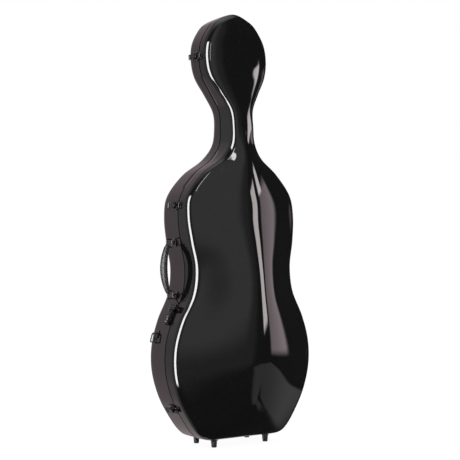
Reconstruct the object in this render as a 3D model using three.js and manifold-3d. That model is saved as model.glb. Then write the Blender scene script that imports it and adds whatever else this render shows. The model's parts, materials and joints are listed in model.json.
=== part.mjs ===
// Hard case for a full-size cello: a base shell and a lid shell hinged along one side,
// closed by draw latches and a combination lock, with a leather handle, rubber feet and a padded interior.
// Millimetres, +Z up, X across the case, -Y towards the lid, +Y towards the back.
import * as THREE from "three";
import Module from "manifold-3d";
import { mergeVertices } from "three/addons/utils/BufferGeometryUtils.js";

// Driving sizes of the whole case
const caseHeight = 1335;
const footHeight = 24;
const lowerBout = 500;
const lidDepth = 156;
const baseDepth = 113;
const backCrown = 9;
const shellWall = 3.2;
const lidEdgeRadius = 16;
const baseEdgeRadius = 26;
const wallDraftShare = 0.03;
const seamGap = 3;
const touchGap = 0.3;
const overrun = 5;
const weld = 0.001;

// The cello that the case holds; its bouts are shares of the case's lower bout
const cello = { lowerBoutShare: 0.88, upperBoutShare: 0.68, neckWidth: 40, neckDepth: 30, endpinDiameter: 26 };

const lining = { thickness: 8, lidRimInset: 12 };
const valance = { thickness: 1.5, intoLid: 8, intoBase: 10 };
const seal = { width: 2 };

const foot = { spacing: 188, flangeRadius: 12, flangeThickness: 3, topRadius: 9.5, tipRadius: 8, tipChamfer: 1.5 };
const lidFootDepth = 17;
const baseFootDepth = 88;

const hinge = {
  upperHeightShare: 0.55, lowerHeightShare: 0.237, axisOut: 5.5, barrelRadius: 4, pinRadius: 1.8, boreRadius: 2.2,
  length: 36, leafLength: 24, leafThickness: 2, leafCorner: 4, leafFromSeam: 3, webSink: 0.5,
};

const latch = {
  headHeightShare: 0.899, upperHeightShare: 0.555, lowerHeightShare: 0.093,
  plateLength: 34, plateWidth: 30, plateThickness: 1.5, plateCorner: 5,
  fromSeam: 3.5, earOut: 5, earThickness: 1.6, earRadius: 2.6, overCentre: 2, pivotFromSeam: 11, pinRadius: 1.3,
  leverWidth: 16.6, leverThickness: 1.8, leverNose: 1.5, leverReach: 28, lipReach: 4, lipRise: 3,
  loopPivotFromSeam: 22, loopPlay: 0.45, wireRadius: 1.1, loopWidth: 20.8, loopReach: 13, loopBarRise: 1.2,
  loopCorner: 3,
  keeperLength: 15, keeperWidth: 17, keeperCorner: 2.5, hookWidth: 12, hookThickness: 2.6, hookHeight: 7,
};

const lock = {
  heightShare: 0.307, length: 70, width: 20, depth: 10, corner: 5, fromSeam: 5,
  dialRadius: 5.5, dialWidth: 4.6, dialPitch: 8, dialOut: 7.4,
  firstDial: 27, dialCount: 3, axleRadius: 1.2, hubRadius: 1.6, slotFloor: 1.5, slotGap: 0.4,
  buttonAt: 3, buttonLength: 6, buttonWidth: 7, buttonRise: 2, buttonStem: 3, buttonTravel: 3.5, buttonDeep: 4,
  haspAt: 21, haspWidth: 19, haspThickness: 1.8, haspBarrel: 2.3, haspPin: 1.1, earThickness: 1.6, haspRise: 3,
  noseReach: 14.5, noseThickness: 2, noseOut: 3.4,
  keeperLength: 15, keeperWidth: 17, hookThickness: 2.8, hookHeight: 8,
};

const handle = {
  lowerHeightShare: 0.349, upperHeightShare: 0.47, depth: 38, eyeOut: 9,
  plateLength: 26, plateWidth: 22, plateThickness: 2, plateCorner: 5,
  barrelRadius: 4, barrelLength: 10, boreRadius: 2.4, ringWire: 2, ringLength: 24, ringReach: 20, ringCorner: 4,
  gripReach: 45, gripEndOut: 14.5, gripEndRadius: 5.5, gripThick: 9, gripWide: 12, gripOverRing: 6,
  gripSteps: 12, bulgePower: 0.8, swellPower: 0.7,
};

const strap = {
  lowerHeightShare: 0.262, lowerDepth: 72, upperHeightShare: 0.646,
  plateLength: 24, plateWidth: 30, plateThickness: 2, plateCorner: 4,
  barrelRadius: 3.8, barrelLength: 20, boreRadius: 2.5, pivotOut: 6.4,
  ringWire: 2.1, ringWidth: 36, ringDrop: 27, ringCorner: 4.5,
};

const pads = {
  sideLength: 150, lowerHeightShare: 0.187, upperHeightShare: 0.517, fromRim: 20,
  blockWidth: 150, blockHeight: 42, blockDepth: 58, cradleHeightShare: 0.7, cradleLength: 60, cradleFromRim: 8,
  strapWidth: 28, strapThickness: 2.4, strapRise: 17, strapEndIn: 4, strapSteps: 12,
};

const bow = {
  clipHeightShare: 0.15, clipSpacing: 250, postRadius: 7, postHeight: 9, stemRadius: 2.5, stemHeight: 9,
  wingLength: 36, wingWidth: 12, wingThickness: 3.5, pouchHeightShare: 0.6, pouchSpacing: 110, pouchLength: 70,
  pouchWidth: 40, pouchDepth: 20, pouchWall: 3, pouchCorner: 6, pouchInnerCorner: 3,
};

// Stations round half the outline, from the bottom centre to the top centre, as shares:
// height and centre height of the shells' height, half width of half the lower bout,
// lid edge depth and lid ridge depth of the lid's depth, base edge depth of the base's depth
const stationShares = [
  [0.0, 0.0, 0.096, 0.295, 0.755, 0.93],
  [0.0, 0.28, 0.1, 0.295, 0.76, 0.93],
  [0.0015, 0.512, 0.105, 0.295, 0.775, 0.93],
  [0.015, 0.64, 0.112, 0.3, 0.79, 0.935],
  [0.05, 0.777, 0.127, 0.305, 0.825, 0.95],
  [0.1, 0.916, 0.15, 0.315, 0.885, 0.965],
  [0.16, 0.999, 0.182, 0.33, 0.96, 0.985],
  [0.22, 0.995, 0.224, 0.34, 0.993, 0.99],
  [0.28, 0.902, 0.28, 0.355, 1.0, 0.995],
  [0.34, 0.75, 0.34, 0.38, 0.985, 1.0],
  [0.4, 0.71, 0.4, 0.393, 0.95, 1.0],
  [0.46, 0.761, 0.46, 0.385, 0.888, 0.99],
  [0.52, 0.792, 0.517, 0.352, 0.82, 0.975],
  [0.57, 0.752, 0.566, 0.325, 0.782, 0.945],
  [0.62, 0.547, 0.616, 0.33, 0.71, 0.875],
  [0.655, 0.303, 0.657, 0.4, 0.63, 0.73],
  [0.69, 0.187, 0.691, 0.46, 0.55, 0.565],
  [0.73, 0.167, 0.729, 0.47, 0.512, 0.487],
  [0.77, 0.184, 0.767, 0.42, 0.475, 0.487],
  [0.81, 0.298, 0.804, 0.335, 0.425, 0.52],
  [0.85, 0.42, 0.838, 0.265, 0.385, 0.575],
  [0.89, 0.458, 0.866, 0.245, 0.37, 0.62],
  [0.93, 0.431, 0.891, 0.23, 0.36, 0.672],
  [0.965, 0.328, 0.909, 0.222, 0.347, 0.717],
  [0.985, 0.214, 0.921, 0.218, 0.34, 0.735],
  [1.0, 0.0, 0.931, 0.218, 0.333, 0.752],
];
const stepsPerStation = 2;
// How much of the lid's rise is a plain dome, from the bottom to the head; the rest is a raised ridge
const domeShares = [0.95, 0.55, 0.45, 0.45, 0.55, 0.9, 1.0];
// Places on the section from rim to centre line: 0 to 1 side wall, 1 to 2 rounded edge, 2 to 3 crown
const outerPlaceShares = [0, 1, 1.4, 2, 2.25, 2.5, 2.75, 3];
const innerPlaceShares = [0, 1, 2, 2.55, 3];

const shellHeight = caseHeight - footHeight;
const draftAngle = Math.atan(wallDraftShare);
const halfSeam = seamGap / 2;
const stationCount = stationShares.length;
const halfColumns = (stationCount - 1) * stepsPerStation;

const wasm = await Module();
wasm.setup();

const finishes = {
  shell: finish(0x171516, 0.12, 0.1),
  seal: finish(0x0b0b0b, 0.8, 0),
  plush: finish(0x2a2a2e, 1, 0),
  hardware: finish(0x141414, 0.35, 0.8),
  bright: finish(0xb8b8b8, 0.25, 1),
  leather: finish(0x1c1b1b, 0.55, 0),
  rubber: finish(0x121212, 0.85, 0),
  webbing: finish(0x18181a, 0.9, 0),
  dial: finish(0x8a8a86, 0.4, 0.6),
};

function finish(color, roughness, metalness) {
  return new THREE.MeshStandardMaterial({ color, roughness, metalness });
}

// Solids and joins

function toSolid(geometry) {
  const bare = new THREE.BufferGeometry();
  bare.setAttribute("position", geometry.getAttribute("position").clone());
  if (geometry.index) bare.setIndex(geometry.index.clone());
  const merged = mergeVertices(bare, weld);
  return new wasm.Manifold(new wasm.Mesh({
    numProp: 3,
    vertProperties: new Float32Array(merged.getAttribute("position").array),
    triVerts: new Uint32Array(merged.index.array),
  }));
}

function toGeometry(solid) {
  const mesh = solid.getMesh();
  const geometry = new THREE.BufferGeometry();
  geometry.setAttribute("position", new THREE.BufferAttribute(new Float32Array(mesh.vertProperties), 3));
  geometry.setIndex(new THREE.BufferAttribute(new Uint32Array(mesh.triVerts), 1));
  geometry.computeVertexNormals();
  return geometry;
}

function join(...shapes) {
  return toGeometry(shapes.map(toSolid).reduce((all, one) => all.add(one)));
}

function cut(shape, ...tools) {
  return toGeometry(tools.map(toSolid).reduce((all, one) => all.subtract(one), toSolid(shape)));
}

function common(shape, other) {
  return toGeometry(toSolid(shape).intersect(toSolid(other)));
}

// Closes loose triangles into one mesh with its faces pointing out
function closed(triangles) {
  const geometry = new THREE.BufferGeometry();
  geometry.setAttribute("position", new THREE.Float32BufferAttribute(triangles.flatMap((p) => [p.x, p.y, p.z]), 3));
  const merged = mergeVertices(geometry, weld);
  const kept = [];
  const order = merged.index.array;
  for (let i = 0; i < order.length; i += 3) {
    const [a, b, c] = [order[i], order[i + 1], order[i + 2]];
    if (a !== b && b !== c && c !== a) kept.push(a, b, c);
  }
  const place = (i) => new THREE.Vector3().fromBufferAttribute(merged.getAttribute("position"), i);
  let volume = 0;
  for (let i = 0; i < kept.length; i += 3) {
    volume += place(kept[i]).dot(place(kept[i + 1]).cross(place(kept[i + 2])));
  }
  merged.setIndex(volume > 0 ? kept : kept.reverse());
  merged.computeVertexNormals();
  return merged;
}

// Case surface

function mix(a, b, share) {
  return a + (b - a) * share;
}

// A row beyond either end of the table is the mirror image of the row inside it
function stationRow(index) {
  if (index >= 0 && index < stationCount) return stationShares[index];
  const inside = index < 0 ? -index : 2 * (stationCount - 1) - index;
  const [height, halfWidth, ...rest] = stationShares[inside];
  return [height, -halfWidth, ...rest];
}

function along(shares, part) {
  const place = part * (shares.length - 1);
  const index = Math.min(Math.floor(place), shares.length - 2);
  return mix(shares[index], shares[index + 1], place - index);
}

// Smooth curve through the stations, from 0 at the bottom centre to 1 at the top centre
function station(part) {
  const place = part * (stationCount - 1);
  const index = Math.min(Math.floor(place), stationCount - 2);
  const t = place - index;
  const rows = [-1, 0, 1, 2].map((step) => stationRow(index + step));
  const value = (column) => {
    const [a, b, c, d] = rows.map((row) => row[column]);
    return b + 0.5 * t * (c - a + t * (2 * a - 5 * b + 4 * c - d + t * (3 * (b - c) + d - a)));
  };
  return {
    height: footHeight + value(0) * shellHeight,
    halfWidth: value(1) * lowerBout / 2,
    centre: footHeight + value(2) * shellHeight,
    lidEdge: value(3) * lidDepth,
    lidRidge: value(4) * lidDepth,
    baseEdge: value(5) * baseDepth,
    dome: along(domeShares, part),
  };
}

const lidSide = {
  sign: -1, radius: lidEdgeRadius, edge: (s) => s.lidEdge, top: (s) => s.lidRidge, dome: (s) => s.dome,
};
const baseSide = {
  sign: 1, radius: baseEdgeRadius, edge: (s) => s.baseEdge, top: (s) => s.baseEdge + backCrown, dome: () => 1,
};

// A point of the surface that lies a given offset inside the outer one
function surfacePoint(side, part, place, offset, rim) {
  const s = station(part);
  const rise = s.centre - s.height;
  const reach = Math.hypot(s.halfWidth, rise);
  const edge = side.edge(s) - offset;
  const radius = Math.min(Math.max(side.radius - offset, shellWall), edge / 2);
  const wallTop = edge - radius;
  const wallInset = offset + wallDraftShare * wallTop;
  const climb = side.top(s) - offset - edge;
  const dome = side.dome(s);
  let inset;
  let depth;
  if (place <= 1) {
    depth = mix(rim, wallTop, place);
    inset = offset + wallDraftShare * depth;
  } else {
    const turn = Math.min(place - 1, 1) * Math.PI / 2;
    inset = place > 2 ? mix(wallInset + radius, reach, place - 2) : wallInset + radius * (1 - Math.cos(turn));
    const u = (inset - wallInset) / (reach - wallInset);
    const crown = dome * (1 - (1 - u) ** 2) + (1 - dome) * (3 * u * u - 2 * u ** 3);
    depth = wallTop + radius * Math.sin(turn) + climb * crown;
  }
  const share = inset / reach;
  return new THREE.Vector3(s.halfWidth * (1 - share), side.sign * depth, mix(s.height, s.centre, share));
}

function mirrored(triangles) {
  const out = [];
  for (let i = 0; i < triangles.length; i += 3) {
    for (const p of [triangles[i + 2], triangles[i + 1], triangles[i]]) out.push(new THREE.Vector3(-p.x, p.y, p.z));
  }
  return out;
}

function quad(a, b, c, d) {
  return [a, b, c, a, c, d];
}

// Closed mesh from a section that runs round the material, swept round the whole outline.
// Steps before the turn run inwards from the centre line, so their quads are split the other way,
// and two skins that lie on each other have the same facets.
function roundOutline(sectionAt, closedSection, turn) {
  const half = [];
  for (let i = 0; i < halfColumns; i += 1) {
    const here = sectionAt(columnParts[i]);
    const next = sectionAt(columnParts[i + 1]);
    const count = here.length - (closedSection ? 0 : 1);
    for (let j = 0; j < count; j += 1) {
      const k = (j + 1) % here.length;
      if (j < turn) half.push(...quad(here[k], next[k], next[j], here[j]));
      else half.push(...quad(here[j], here[k], next[k], next[j]));
    }
  }
  return closed([...half, ...mirrored(half)]);
}

function shellSkin(side, outside, inside, rim, outerPlaces) {
  return roundOutline((part) => [
    ...[...outerPlaces].reverse().map((place) => surfacePoint(side, part, place, outside, rim)),
    ...innerPlaceShares.map((place) => surfacePoint(side, part, place, inside, rim)),
  ], false, outerPlaces.length - 1);
}

// The room inside a side, closed flat at its rim
function roomInside(side, offset, rim) {
  return roundOutline((part) => {
    const skin = innerPlaceShares.map((place) => surfacePoint(side, part, place, offset, rim));
    const s = station(part);
    return [new THREE.Vector3(0, side.sign * rim, s.centre), ...skin];
  }, false, 0);
}

function rimBand(outside, inside, low, high) {
  const point = (part, inset, depth) => {
    const p = surfacePoint(baseSide, part, 0, inset, 0);
    return new THREE.Vector3(p.x, depth, p.z);
  };
  return roundOutline((part) => [
    point(part, outside, low), point(part, outside, high), point(part, inside, high), point(part, inside, low),
  ], true, 0);
}

// Places on the side wall

function partAtHeight(height) {
  let low = 2 / (stationCount - 1);
  let high = 1;
  for (let i = 0; i < 40; i += 1) {
    const middle = (low + high) / 2;
    if (station(middle).height < height) low = middle;
    else high = middle;
  }
  return low;
}

// Columns of the faceted shells, the nearest ones moved to the heights where hardware sits on the wall
const columnParts = (() => {
  const parts = Array.from({ length: halfColumns + 1 }, (_, i) => i / halfColumns);
  const seats = [
    hinge.upperHeightShare, hinge.lowerHeightShare,
    latch.headHeightShare, latch.upperHeightShare, latch.lowerHeightShare,
    lock.heightShare, handle.lowerHeightShare, handle.upperHeightShare, strap.lowerHeightShare,
  ];
  for (const share of seats) {
    const part = partAtHeight(share * caseHeight);
    parts[Math.round(part * halfColumns)] = part;
  }
  return parts;
})();

// The wall point at a height, with the outward direction and the upward direction along the wall
function wallPlace(height, hand) {
  const part = partAtHeight(height);
  const step = 1 / halfColumns / 8;
  const [before, here, after] = [part - step, part, part + step].map(station);
  const climb = new THREE.Vector3(hand * (after.halfWidth - before.halfWidth), 0, after.height - before.height);
  const up = climb.normalize();
  const out = new THREE.Vector3(hand * up.z, 0, -hand * up.x);
  return { point: new THREE.Vector3(hand * here.halfWidth, 0, here.height), out, up };
}

// How far the faceted wall bulges over the tangent plane within a reach to each side of a place
function wallRise(place, hand, reach) {
  const corners = columnParts.map((part) => {
    const s = station(part);
    const away = new THREE.Vector3(hand * s.halfWidth, 0, s.height).sub(place.point);
    return [away.dot(place.up), away.dot(place.out)];
  });
  let most = 0;
  for (let i = 0; i < halfColumns; i += 1) {
    const [low, high] = [corners[i], corners[i + 1]];
    for (const end of [-reach, reach, low[0], high[0]]) {
      const share = (end - low[0]) / (high[0] - low[0]);
      if (share >= 0 && share <= 1 && Math.abs(end) <= reach) most = Math.max(most, mix(low[1], high[1], share));
    }
  }
  return most;
}

// Group with X out of the wall, Z up along it, standing on the wall at a height and a depth
function wallGroup(height, hand, depth, reach) {
  const place = wallPlace(height, hand);
  const group = new THREE.Group();
  const side = new THREE.Vector3().crossVectors(place.up, place.out);
  group.applyMatrix4(new THREE.Matrix4().makeBasis(place.out, side, place.up));
  const seat = wallRise(place, hand, reach) - wallDraftShare * Math.abs(depth);
  group.position.copy(place.point).addScaledVector(place.out, seat);
  group.position.y = depth;
  return group;
}

// The half of a wall group that lies on one shell leans with that shell's draft
function leaning(group, towards) {
  const half = new THREE.Group();
  half.rotation.z = towards * draftAngle;
  group.add(half);
  return half;
}

// Small shapes

function box(x0, x1, y0, y1, z0, z1) {
  const shape = new THREE.BoxGeometry(x1 - x0, y1 - y0, z1 - z0);
  return shape.translate((x0 + x1) / 2, (y0 + y1) / 2, (z0 + z1) / 2);
}

function roundedOutline(wide, high, corner) {
  const [x, y] = [wide / 2, high / 2];
  const shape = new THREE.Shape();
  shape.moveTo(-x + corner, -y);
  shape.lineTo(x - corner, -y);
  shape.absarc(x - corner, -y + corner, corner, -Math.PI / 2, 0);
  shape.lineTo(x, y - corner);
  shape.absarc(x - corner, y - corner, corner, 0, Math.PI / 2);
  shape.lineTo(-x + corner, y);
  shape.absarc(-x + corner, y - corner, corner, Math.PI / 2, Math.PI);
  shape.lineTo(-x, -y + corner);
  shape.absarc(-x + corner, -y + corner, corner, Math.PI, 1.5 * Math.PI);
  return shape;
}

// Turns an extrusion so that it grows along X from an outline drawn in Y and Z
function facingOut(geometry) {
  const turn = new THREE.Matrix4().makeBasis(
    new THREE.Vector3(0, 1, 0), new THREE.Vector3(0, 0, 1), new THREE.Vector3(1, 0, 0));
  return geometry.applyMatrix4(turn);
}

// Flat plate with rounded corners, lying on x = 0 of its group
function plate(wide, high, thick, corner) {
  const shape = roundedOutline(wide, high, corner);
  return facingOut(new THREE.ExtrudeGeometry(shape, { depth: thick, bevelEnabled: false, curveSegments: 2 }));
}

function rodZ(radius, length, sides) {
  return new THREE.CylinderGeometry(radius, radius, length, sides).rotateX(Math.PI / 2);
}

function rodY(radius, length, sides) {
  return new THREE.CylinderGeometry(radius, radius, length, sides);
}

// Tube along points that lie in one plane; the section is an ellipse, across and within that plane
function flatTube(points, planeNormal, across, within, sides, isLoop) {
  const count = points.length;
  const rings = points.map((point, i) => {
    const back = points[isLoop ? (i + count - 1) % count : Math.max(i - 1, 0)];
    const ahead = points[isLoop ? (i + 1) % count : Math.min(i + 1, count - 1)];
    const tangent = new THREE.Vector3().subVectors(ahead, back).normalize();
    const inward = new THREE.Vector3().crossVectors(tangent, planeNormal);
    return Array.from({ length: sides }, (_, k) => {
      const turn = (k + 0.5) / sides * 2 * Math.PI;
      return point.clone()
        .addScaledVector(planeNormal, Math.cos(turn) * across(i / (count - 1)))
        .addScaledVector(inward, Math.sin(turn) * within(i / (count - 1)));
    });
  });
  const triangles = [];
  for (let i = 0; i < (isLoop ? count : count - 1); i += 1) {
    const [here, next] = [rings[i], rings[(i + 1) % count]];
    for (let k = 0; k < sides; k += 1) {
      const n = (k + 1) % sides;
      triangles.push(...quad(here[k], next[k], next[n], here[n]));
    }
  }
  if (!isLoop) {
    for (let k = 1; k < sides - 1; k += 1) {
      triangles.push(rings[0][0], rings[0][k], rings[0][k + 1]);
      triangles.push(rings[count - 1][0], rings[count - 1][k + 1], rings[count - 1][k]);
    }
  }
  return closed(triangles);
}

function wireLoop(outline, toSpace, planeNormal, radius) {
  const points = outline.getPoints(1).slice(1).map(toSpace);
  const unique = points.filter((p, i) => p.distanceTo(points[(i + 1) % points.length]) > radius / 4);
  const size = () => radius;
  return flatTube(unique, planeNormal, size, size, 6, true);
}

// Assembly

const cello_case = new THREE.Group();

function add(parent, name, geometry, look) {
  const mesh = new THREE.Mesh(geometry, finishes[look]);
  mesh.name = name;
  parent.add(mesh);
  return mesh;
}

// A group that turns or slides about its own origin, its X, Y or Z axis being the joint's
function pivotGroup(parent, name, x, y, z) {
  const group = new THREE.Group();
  group.name = name;
  group.position.set(x, y, z);
  parent.add(group);
  return group;
}

function addShells() {
  add(cello_case, "base_shell", shellSkin(baseSide, 0, shellWall, halfSeam, outerPlaceShares), "shell");
  add(cello_case, "lid_shell", shellSkin(lidSide, 0, shellWall, halfSeam, outerPlaceShares), "shell");
  const sealInset = (shellWall - seal.width) / 2;
  const sealHalf = halfSeam - touchGap;
  add(cello_case, "rim_seal", rimBand(sealInset, sealInset + seal.width, -sealHalf, sealHalf), "seal");
  add(cello_case, "rim_valance", rimBand(
    valanceInset, valanceInset + valance.thickness, -valance.intoLid, valance.intoBase), "seal");
  const lidInset = shellWall + touchGap;
  add(cello_case, "base_lining", shellSkin(
    baseSide, baseLiningInset, baseLiningInset + lining.thickness, halfSeam, innerPlaceShares), "plush");
  add(cello_case, "lid_lining", shellSkin(
    lidSide, lidInset, lidInset + lining.thickness, lining.lidRimInset, innerPlaceShares), "plush");
}

// The valance clears the shell wall where the draft leans it in
const valanceInset = shellWall + touchGap + wallDraftShare * valance.intoBase;
const baseLiningInset = valanceInset + valance.thickness + touchGap;
const baseRoomInset = baseLiningInset + lining.thickness + touchGap;

// Height of the shells' underside, which the draft raises with the depth from the seam
function underside(x, depth) {
  let low = 0;
  let high = 3 / (stationCount - 1);
  for (let i = 0; i < 40; i += 1) {
    const middle = (low + high) / 2;
    if (surfacePoint(baseSide, middle, 0, 0, depth).x < x) low = middle;
    else high = middle;
  }
  return surfacePoint(baseSide, low, 0, 0, depth).z;
}

// Feet: two under the lid, two under the base
function addFeet() {
  const places = [["lid", -lidFootDepth], ["base", baseFootDepth]];
  for (const [owner, depth] of places) {
    for (const [hand, word] of [[-1, "left"], [1, "right"]]) {
      const rims = [-1, 0, 1].map((share) => foot.spacing / 2 + share * foot.flangeRadius);
      const top = Math.min(...rims.map((x) => underside(x, Math.abs(depth) - foot.flangeRadius))) - touchGap;
      const neck = top - foot.flangeThickness;
      const profile = [
        [0, 0], [foot.tipRadius - foot.tipChamfer, 0], [foot.tipRadius, foot.tipChamfer],
        [foot.topRadius, neck], [foot.flangeRadius, neck], [foot.flangeRadius, top], [0, top],
      ].map(([x, y]) => new THREE.Vector2(x, y));
      const mesh = add(cello_case, `${owner}_foot_${word}`, closedLathe(profile, 14), "rubber");
      mesh.position.set(hand * foot.spacing / 2, depth, 0);
    }
  }
}

// Solid of revolution about +Z
function closedLathe(profile, sides) {
  return new THREE.LatheGeometry(profile, sides).rotateX(Math.PI / 2);
}

// Hinges on the right side, both on one straight line that touches the two bouts
const hingeAxis = (() => {
  const [low, high] = [hinge.lowerHeightShare, hinge.upperHeightShare].map((share) => {
    const place = wallPlace(share * caseHeight, 1);
    return place.point.clone().addScaledVector(place.out, wallRise(place, 1, hinge.length / 2) + hinge.axisOut);
  });
  const up = new THREE.Vector3().subVectors(high, low).normalize();
  return { low, high, up, out: new THREE.Vector3(up.z, 0, -up.x) };
})();

function addHinges() {
  for (const [word, point] of [["upper", hingeAxis.high], ["lower", hingeAxis.low]]) {
    const group = new THREE.Group();
    const side = new THREE.Vector3().crossVectors(hingeAxis.up, hingeAxis.out);
    group.applyMatrix4(new THREE.Matrix4().makeBasis(hingeAxis.out, side, hingeAxis.up));
    group.position.copy(point);
    cello_case.add(group);
    const third = hinge.length / 3;
    const bore = rodZ(hinge.boreRadius, hinge.length + overrun, 10);
    const leaf = (towards) => {
      const from = towards * hinge.leafFromSeam;
      const flat = plate(hinge.leafLength, hinge.length, hinge.leafThickness, hinge.leafCorner);
      flat.translate(0, towards * hinge.leafLength / 2, 0).rotateZ(towards * draftAngle);
      flat.translate(touchGap - hinge.axisOut, from, 0);
      return flat;
    };
    const knuckle = (towards, low, high) => {
      const barrel = rodZ(hinge.barrelRadius, high - low, 12).translate(0, 0, (low + high) / 2);
      const inner = touchGap - hinge.axisOut + hinge.webSink;
      const webEnd = towards * (hinge.leafFromSeam + hinge.leafThickness);
      const web = box(inner, 0, Math.min(0, webEnd), Math.max(0, webEnd), low, high);
      return join(barrel, web);
    };
    const [end, mid] = [hinge.length / 2, third / 2];
    const baseLeaf = cut(join(leaf(1), knuckle(1, -end, -mid - touchGap), knuckle(1, mid + touchGap, end)), bore);
    const lidLeaf = cut(join(leaf(-1), knuckle(-1, -mid, mid)), bore);
    add(group, `hinge_leaf_base_${word}`, baseLeaf, "hardware");
    add(group, `hinge_leaf_lid_${word}`, lidLeaf, "hardware");
    add(group, `hinge_pin_${word}`, rodZ(hinge.pinRadius, hinge.length, 10), "bright");
  }
}

// Draw latch: plate with ears, lever and wire loop on the base, keeper on the lid
function addDrawLatch(word, heightShare) {
  const group = wallGroup(heightShare * caseHeight, -1, 0, latch.plateWidth / 2);
  cello_case.add(group);
  const onBase = leaning(group, -1);
  const onLid = leaning(group, 1);
  const plateTop = touchGap + latch.plateThickness;
  const plateMiddle = -latch.fromSeam - latch.plateLength / 2;
  const pivotY = -latch.pivotFromSeam;
  const loopY = -latch.loopPivotFromSeam;
  const earEnd = latch.earOut + latch.earThickness / 2;
  const base = plate(latch.plateLength, latch.plateWidth, latch.plateThickness, latch.plateCorner);
  base.translate(touchGap, plateMiddle, 0);
  const bossHalf = latch.wireRadius + touchGap + latch.leverThickness / 2;
  const loopOut = plateTop + touchGap + bossHalf;
  const pivotOut = loopOut + latch.overCentre;
  const ear = (z) => join(
    rodZ(latch.earRadius, latch.earThickness, 8).translate(pivotOut, pivotY, z),
    box(touchGap + latch.plateThickness / 2, pivotOut, pivotY - latch.earRadius, pivotY + latch.earRadius,
      z - latch.earThickness / 2, z + latch.earThickness / 2));
  const pinHole = rodZ(latch.pinRadius + touchGap, latch.plateWidth, 8).translate(pivotOut, pivotY, 0);
  add(onBase, `latch_${word}_plate`, cut(join(base, ear(-latch.earOut), ear(latch.earOut)), pinHole), "hardware");

  // Lever, drawn about its pivot with the free end away from the seam
  const lever = pivotGroup(onBase, `latch_${word}_lever_pivot`, pivotOut, pivotY, 0);
  const under = latch.earRadius + touchGap;
  const over = under + latch.leverThickness;
  const loopX = -latch.overCentre;
  const loopBack = loopY - pivotY;
  const profile = new THREE.Shape();
  profile.moveTo(latch.leverNose, under);
  profile.lineTo(loopBack + bossHalf, under);
  profile.lineTo(loopBack + bossHalf, loopX);
  profile.absarc(loopBack, loopX, bossHalf, 0, -Math.PI, true);
  profile.lineTo(loopBack - bossHalf, under);
  profile.lineTo(-latch.leverReach, under);
  const lipEnd = -latch.leverReach - latch.lipReach;
  profile.quadraticCurveTo(lipEnd, under, lipEnd, under + latch.lipRise);
  profile.lineTo(lipEnd + latch.leverThickness, over + latch.lipRise);
  profile.quadraticCurveTo(
    -latch.leverReach + latch.leverThickness / 2, over, -latch.leverReach + latch.lipReach, over);
  profile.lineTo(latch.leverNose, over);
  const bodyHalf = latch.leverWidth / 2;
  const body = new THREE.ExtrudeGeometry(profile, { depth: latch.leverWidth, bevelEnabled: false, curveSegments: 3 });
  body.translate(0, 0, -bodyHalf).applyMatrix4(new THREE.Matrix4().makeBasis(
    new THREE.Vector3(0, 1, 0), new THREE.Vector3(1, 0, 0), new THREE.Vector3(0, 0, -1)));
  const hubHalf = latch.earOut - latch.earThickness / 2 - touchGap;
  const hub = join(
    rodZ(latch.earRadius - touchGap, 2 * hubHalf, 8),
    box(0, under + latch.leverThickness / 2, -latch.leverNose, latch.leverNose, -hubHalf, hubHalf));
  const pin = rodZ(latch.pinRadius, 2 * earEnd, 8);
  const loopHole = rodZ(latch.wireRadius + latch.loopPlay, latch.leverWidth + overrun, 8);
  loopHole.translate(loopX, loopBack, 0);
  add(lever, `latch_${word}_lever`, cut(join(body, hub, pin), loopHole), "hardware");

  // Wire loop, drawn about its pivot in the lever and reaching over the keeper's hook
  const loop = pivotGroup(lever, `latch_${word}_loop_pivot`, loopX, loopBack, 0);
  const reach = latch.loopReach - loopY;
  const tilt = Math.atan2(latch.loopBarRise, reach);
  const loopLength = Math.hypot(reach, latch.loopBarRise);
  const outline = roundedOutline(loopLength, latch.loopWidth, latch.loopCorner);
  const wire = wireLoop(outline, (p) => new THREE.Vector3(0, p.x + loopLength / 2, p.y),
    new THREE.Vector3(1, 0, 0), latch.wireRadius);
  wire.rotateZ(-tilt);
  add(loop, `latch_${word}_loop`, wire, "bright");

  const hookBack = latch.loopReach - latch.wireRadius - 2 * touchGap;
  const keeperPlate = plate(latch.keeperLength, latch.keeperWidth, latch.plateThickness, latch.keeperCorner);
  keeperPlate.translate(touchGap, latch.fromSeam + latch.keeperLength / 2, 0);
  const hook = box(plateTop - latch.plateThickness / 2, latch.hookHeight, hookBack - latch.hookThickness, hookBack,
    -latch.hookWidth / 2, latch.hookWidth / 2);
  add(onLid, `latch_${word}_keeper`, join(keeperPlate, hook), "hardware");
}

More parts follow.
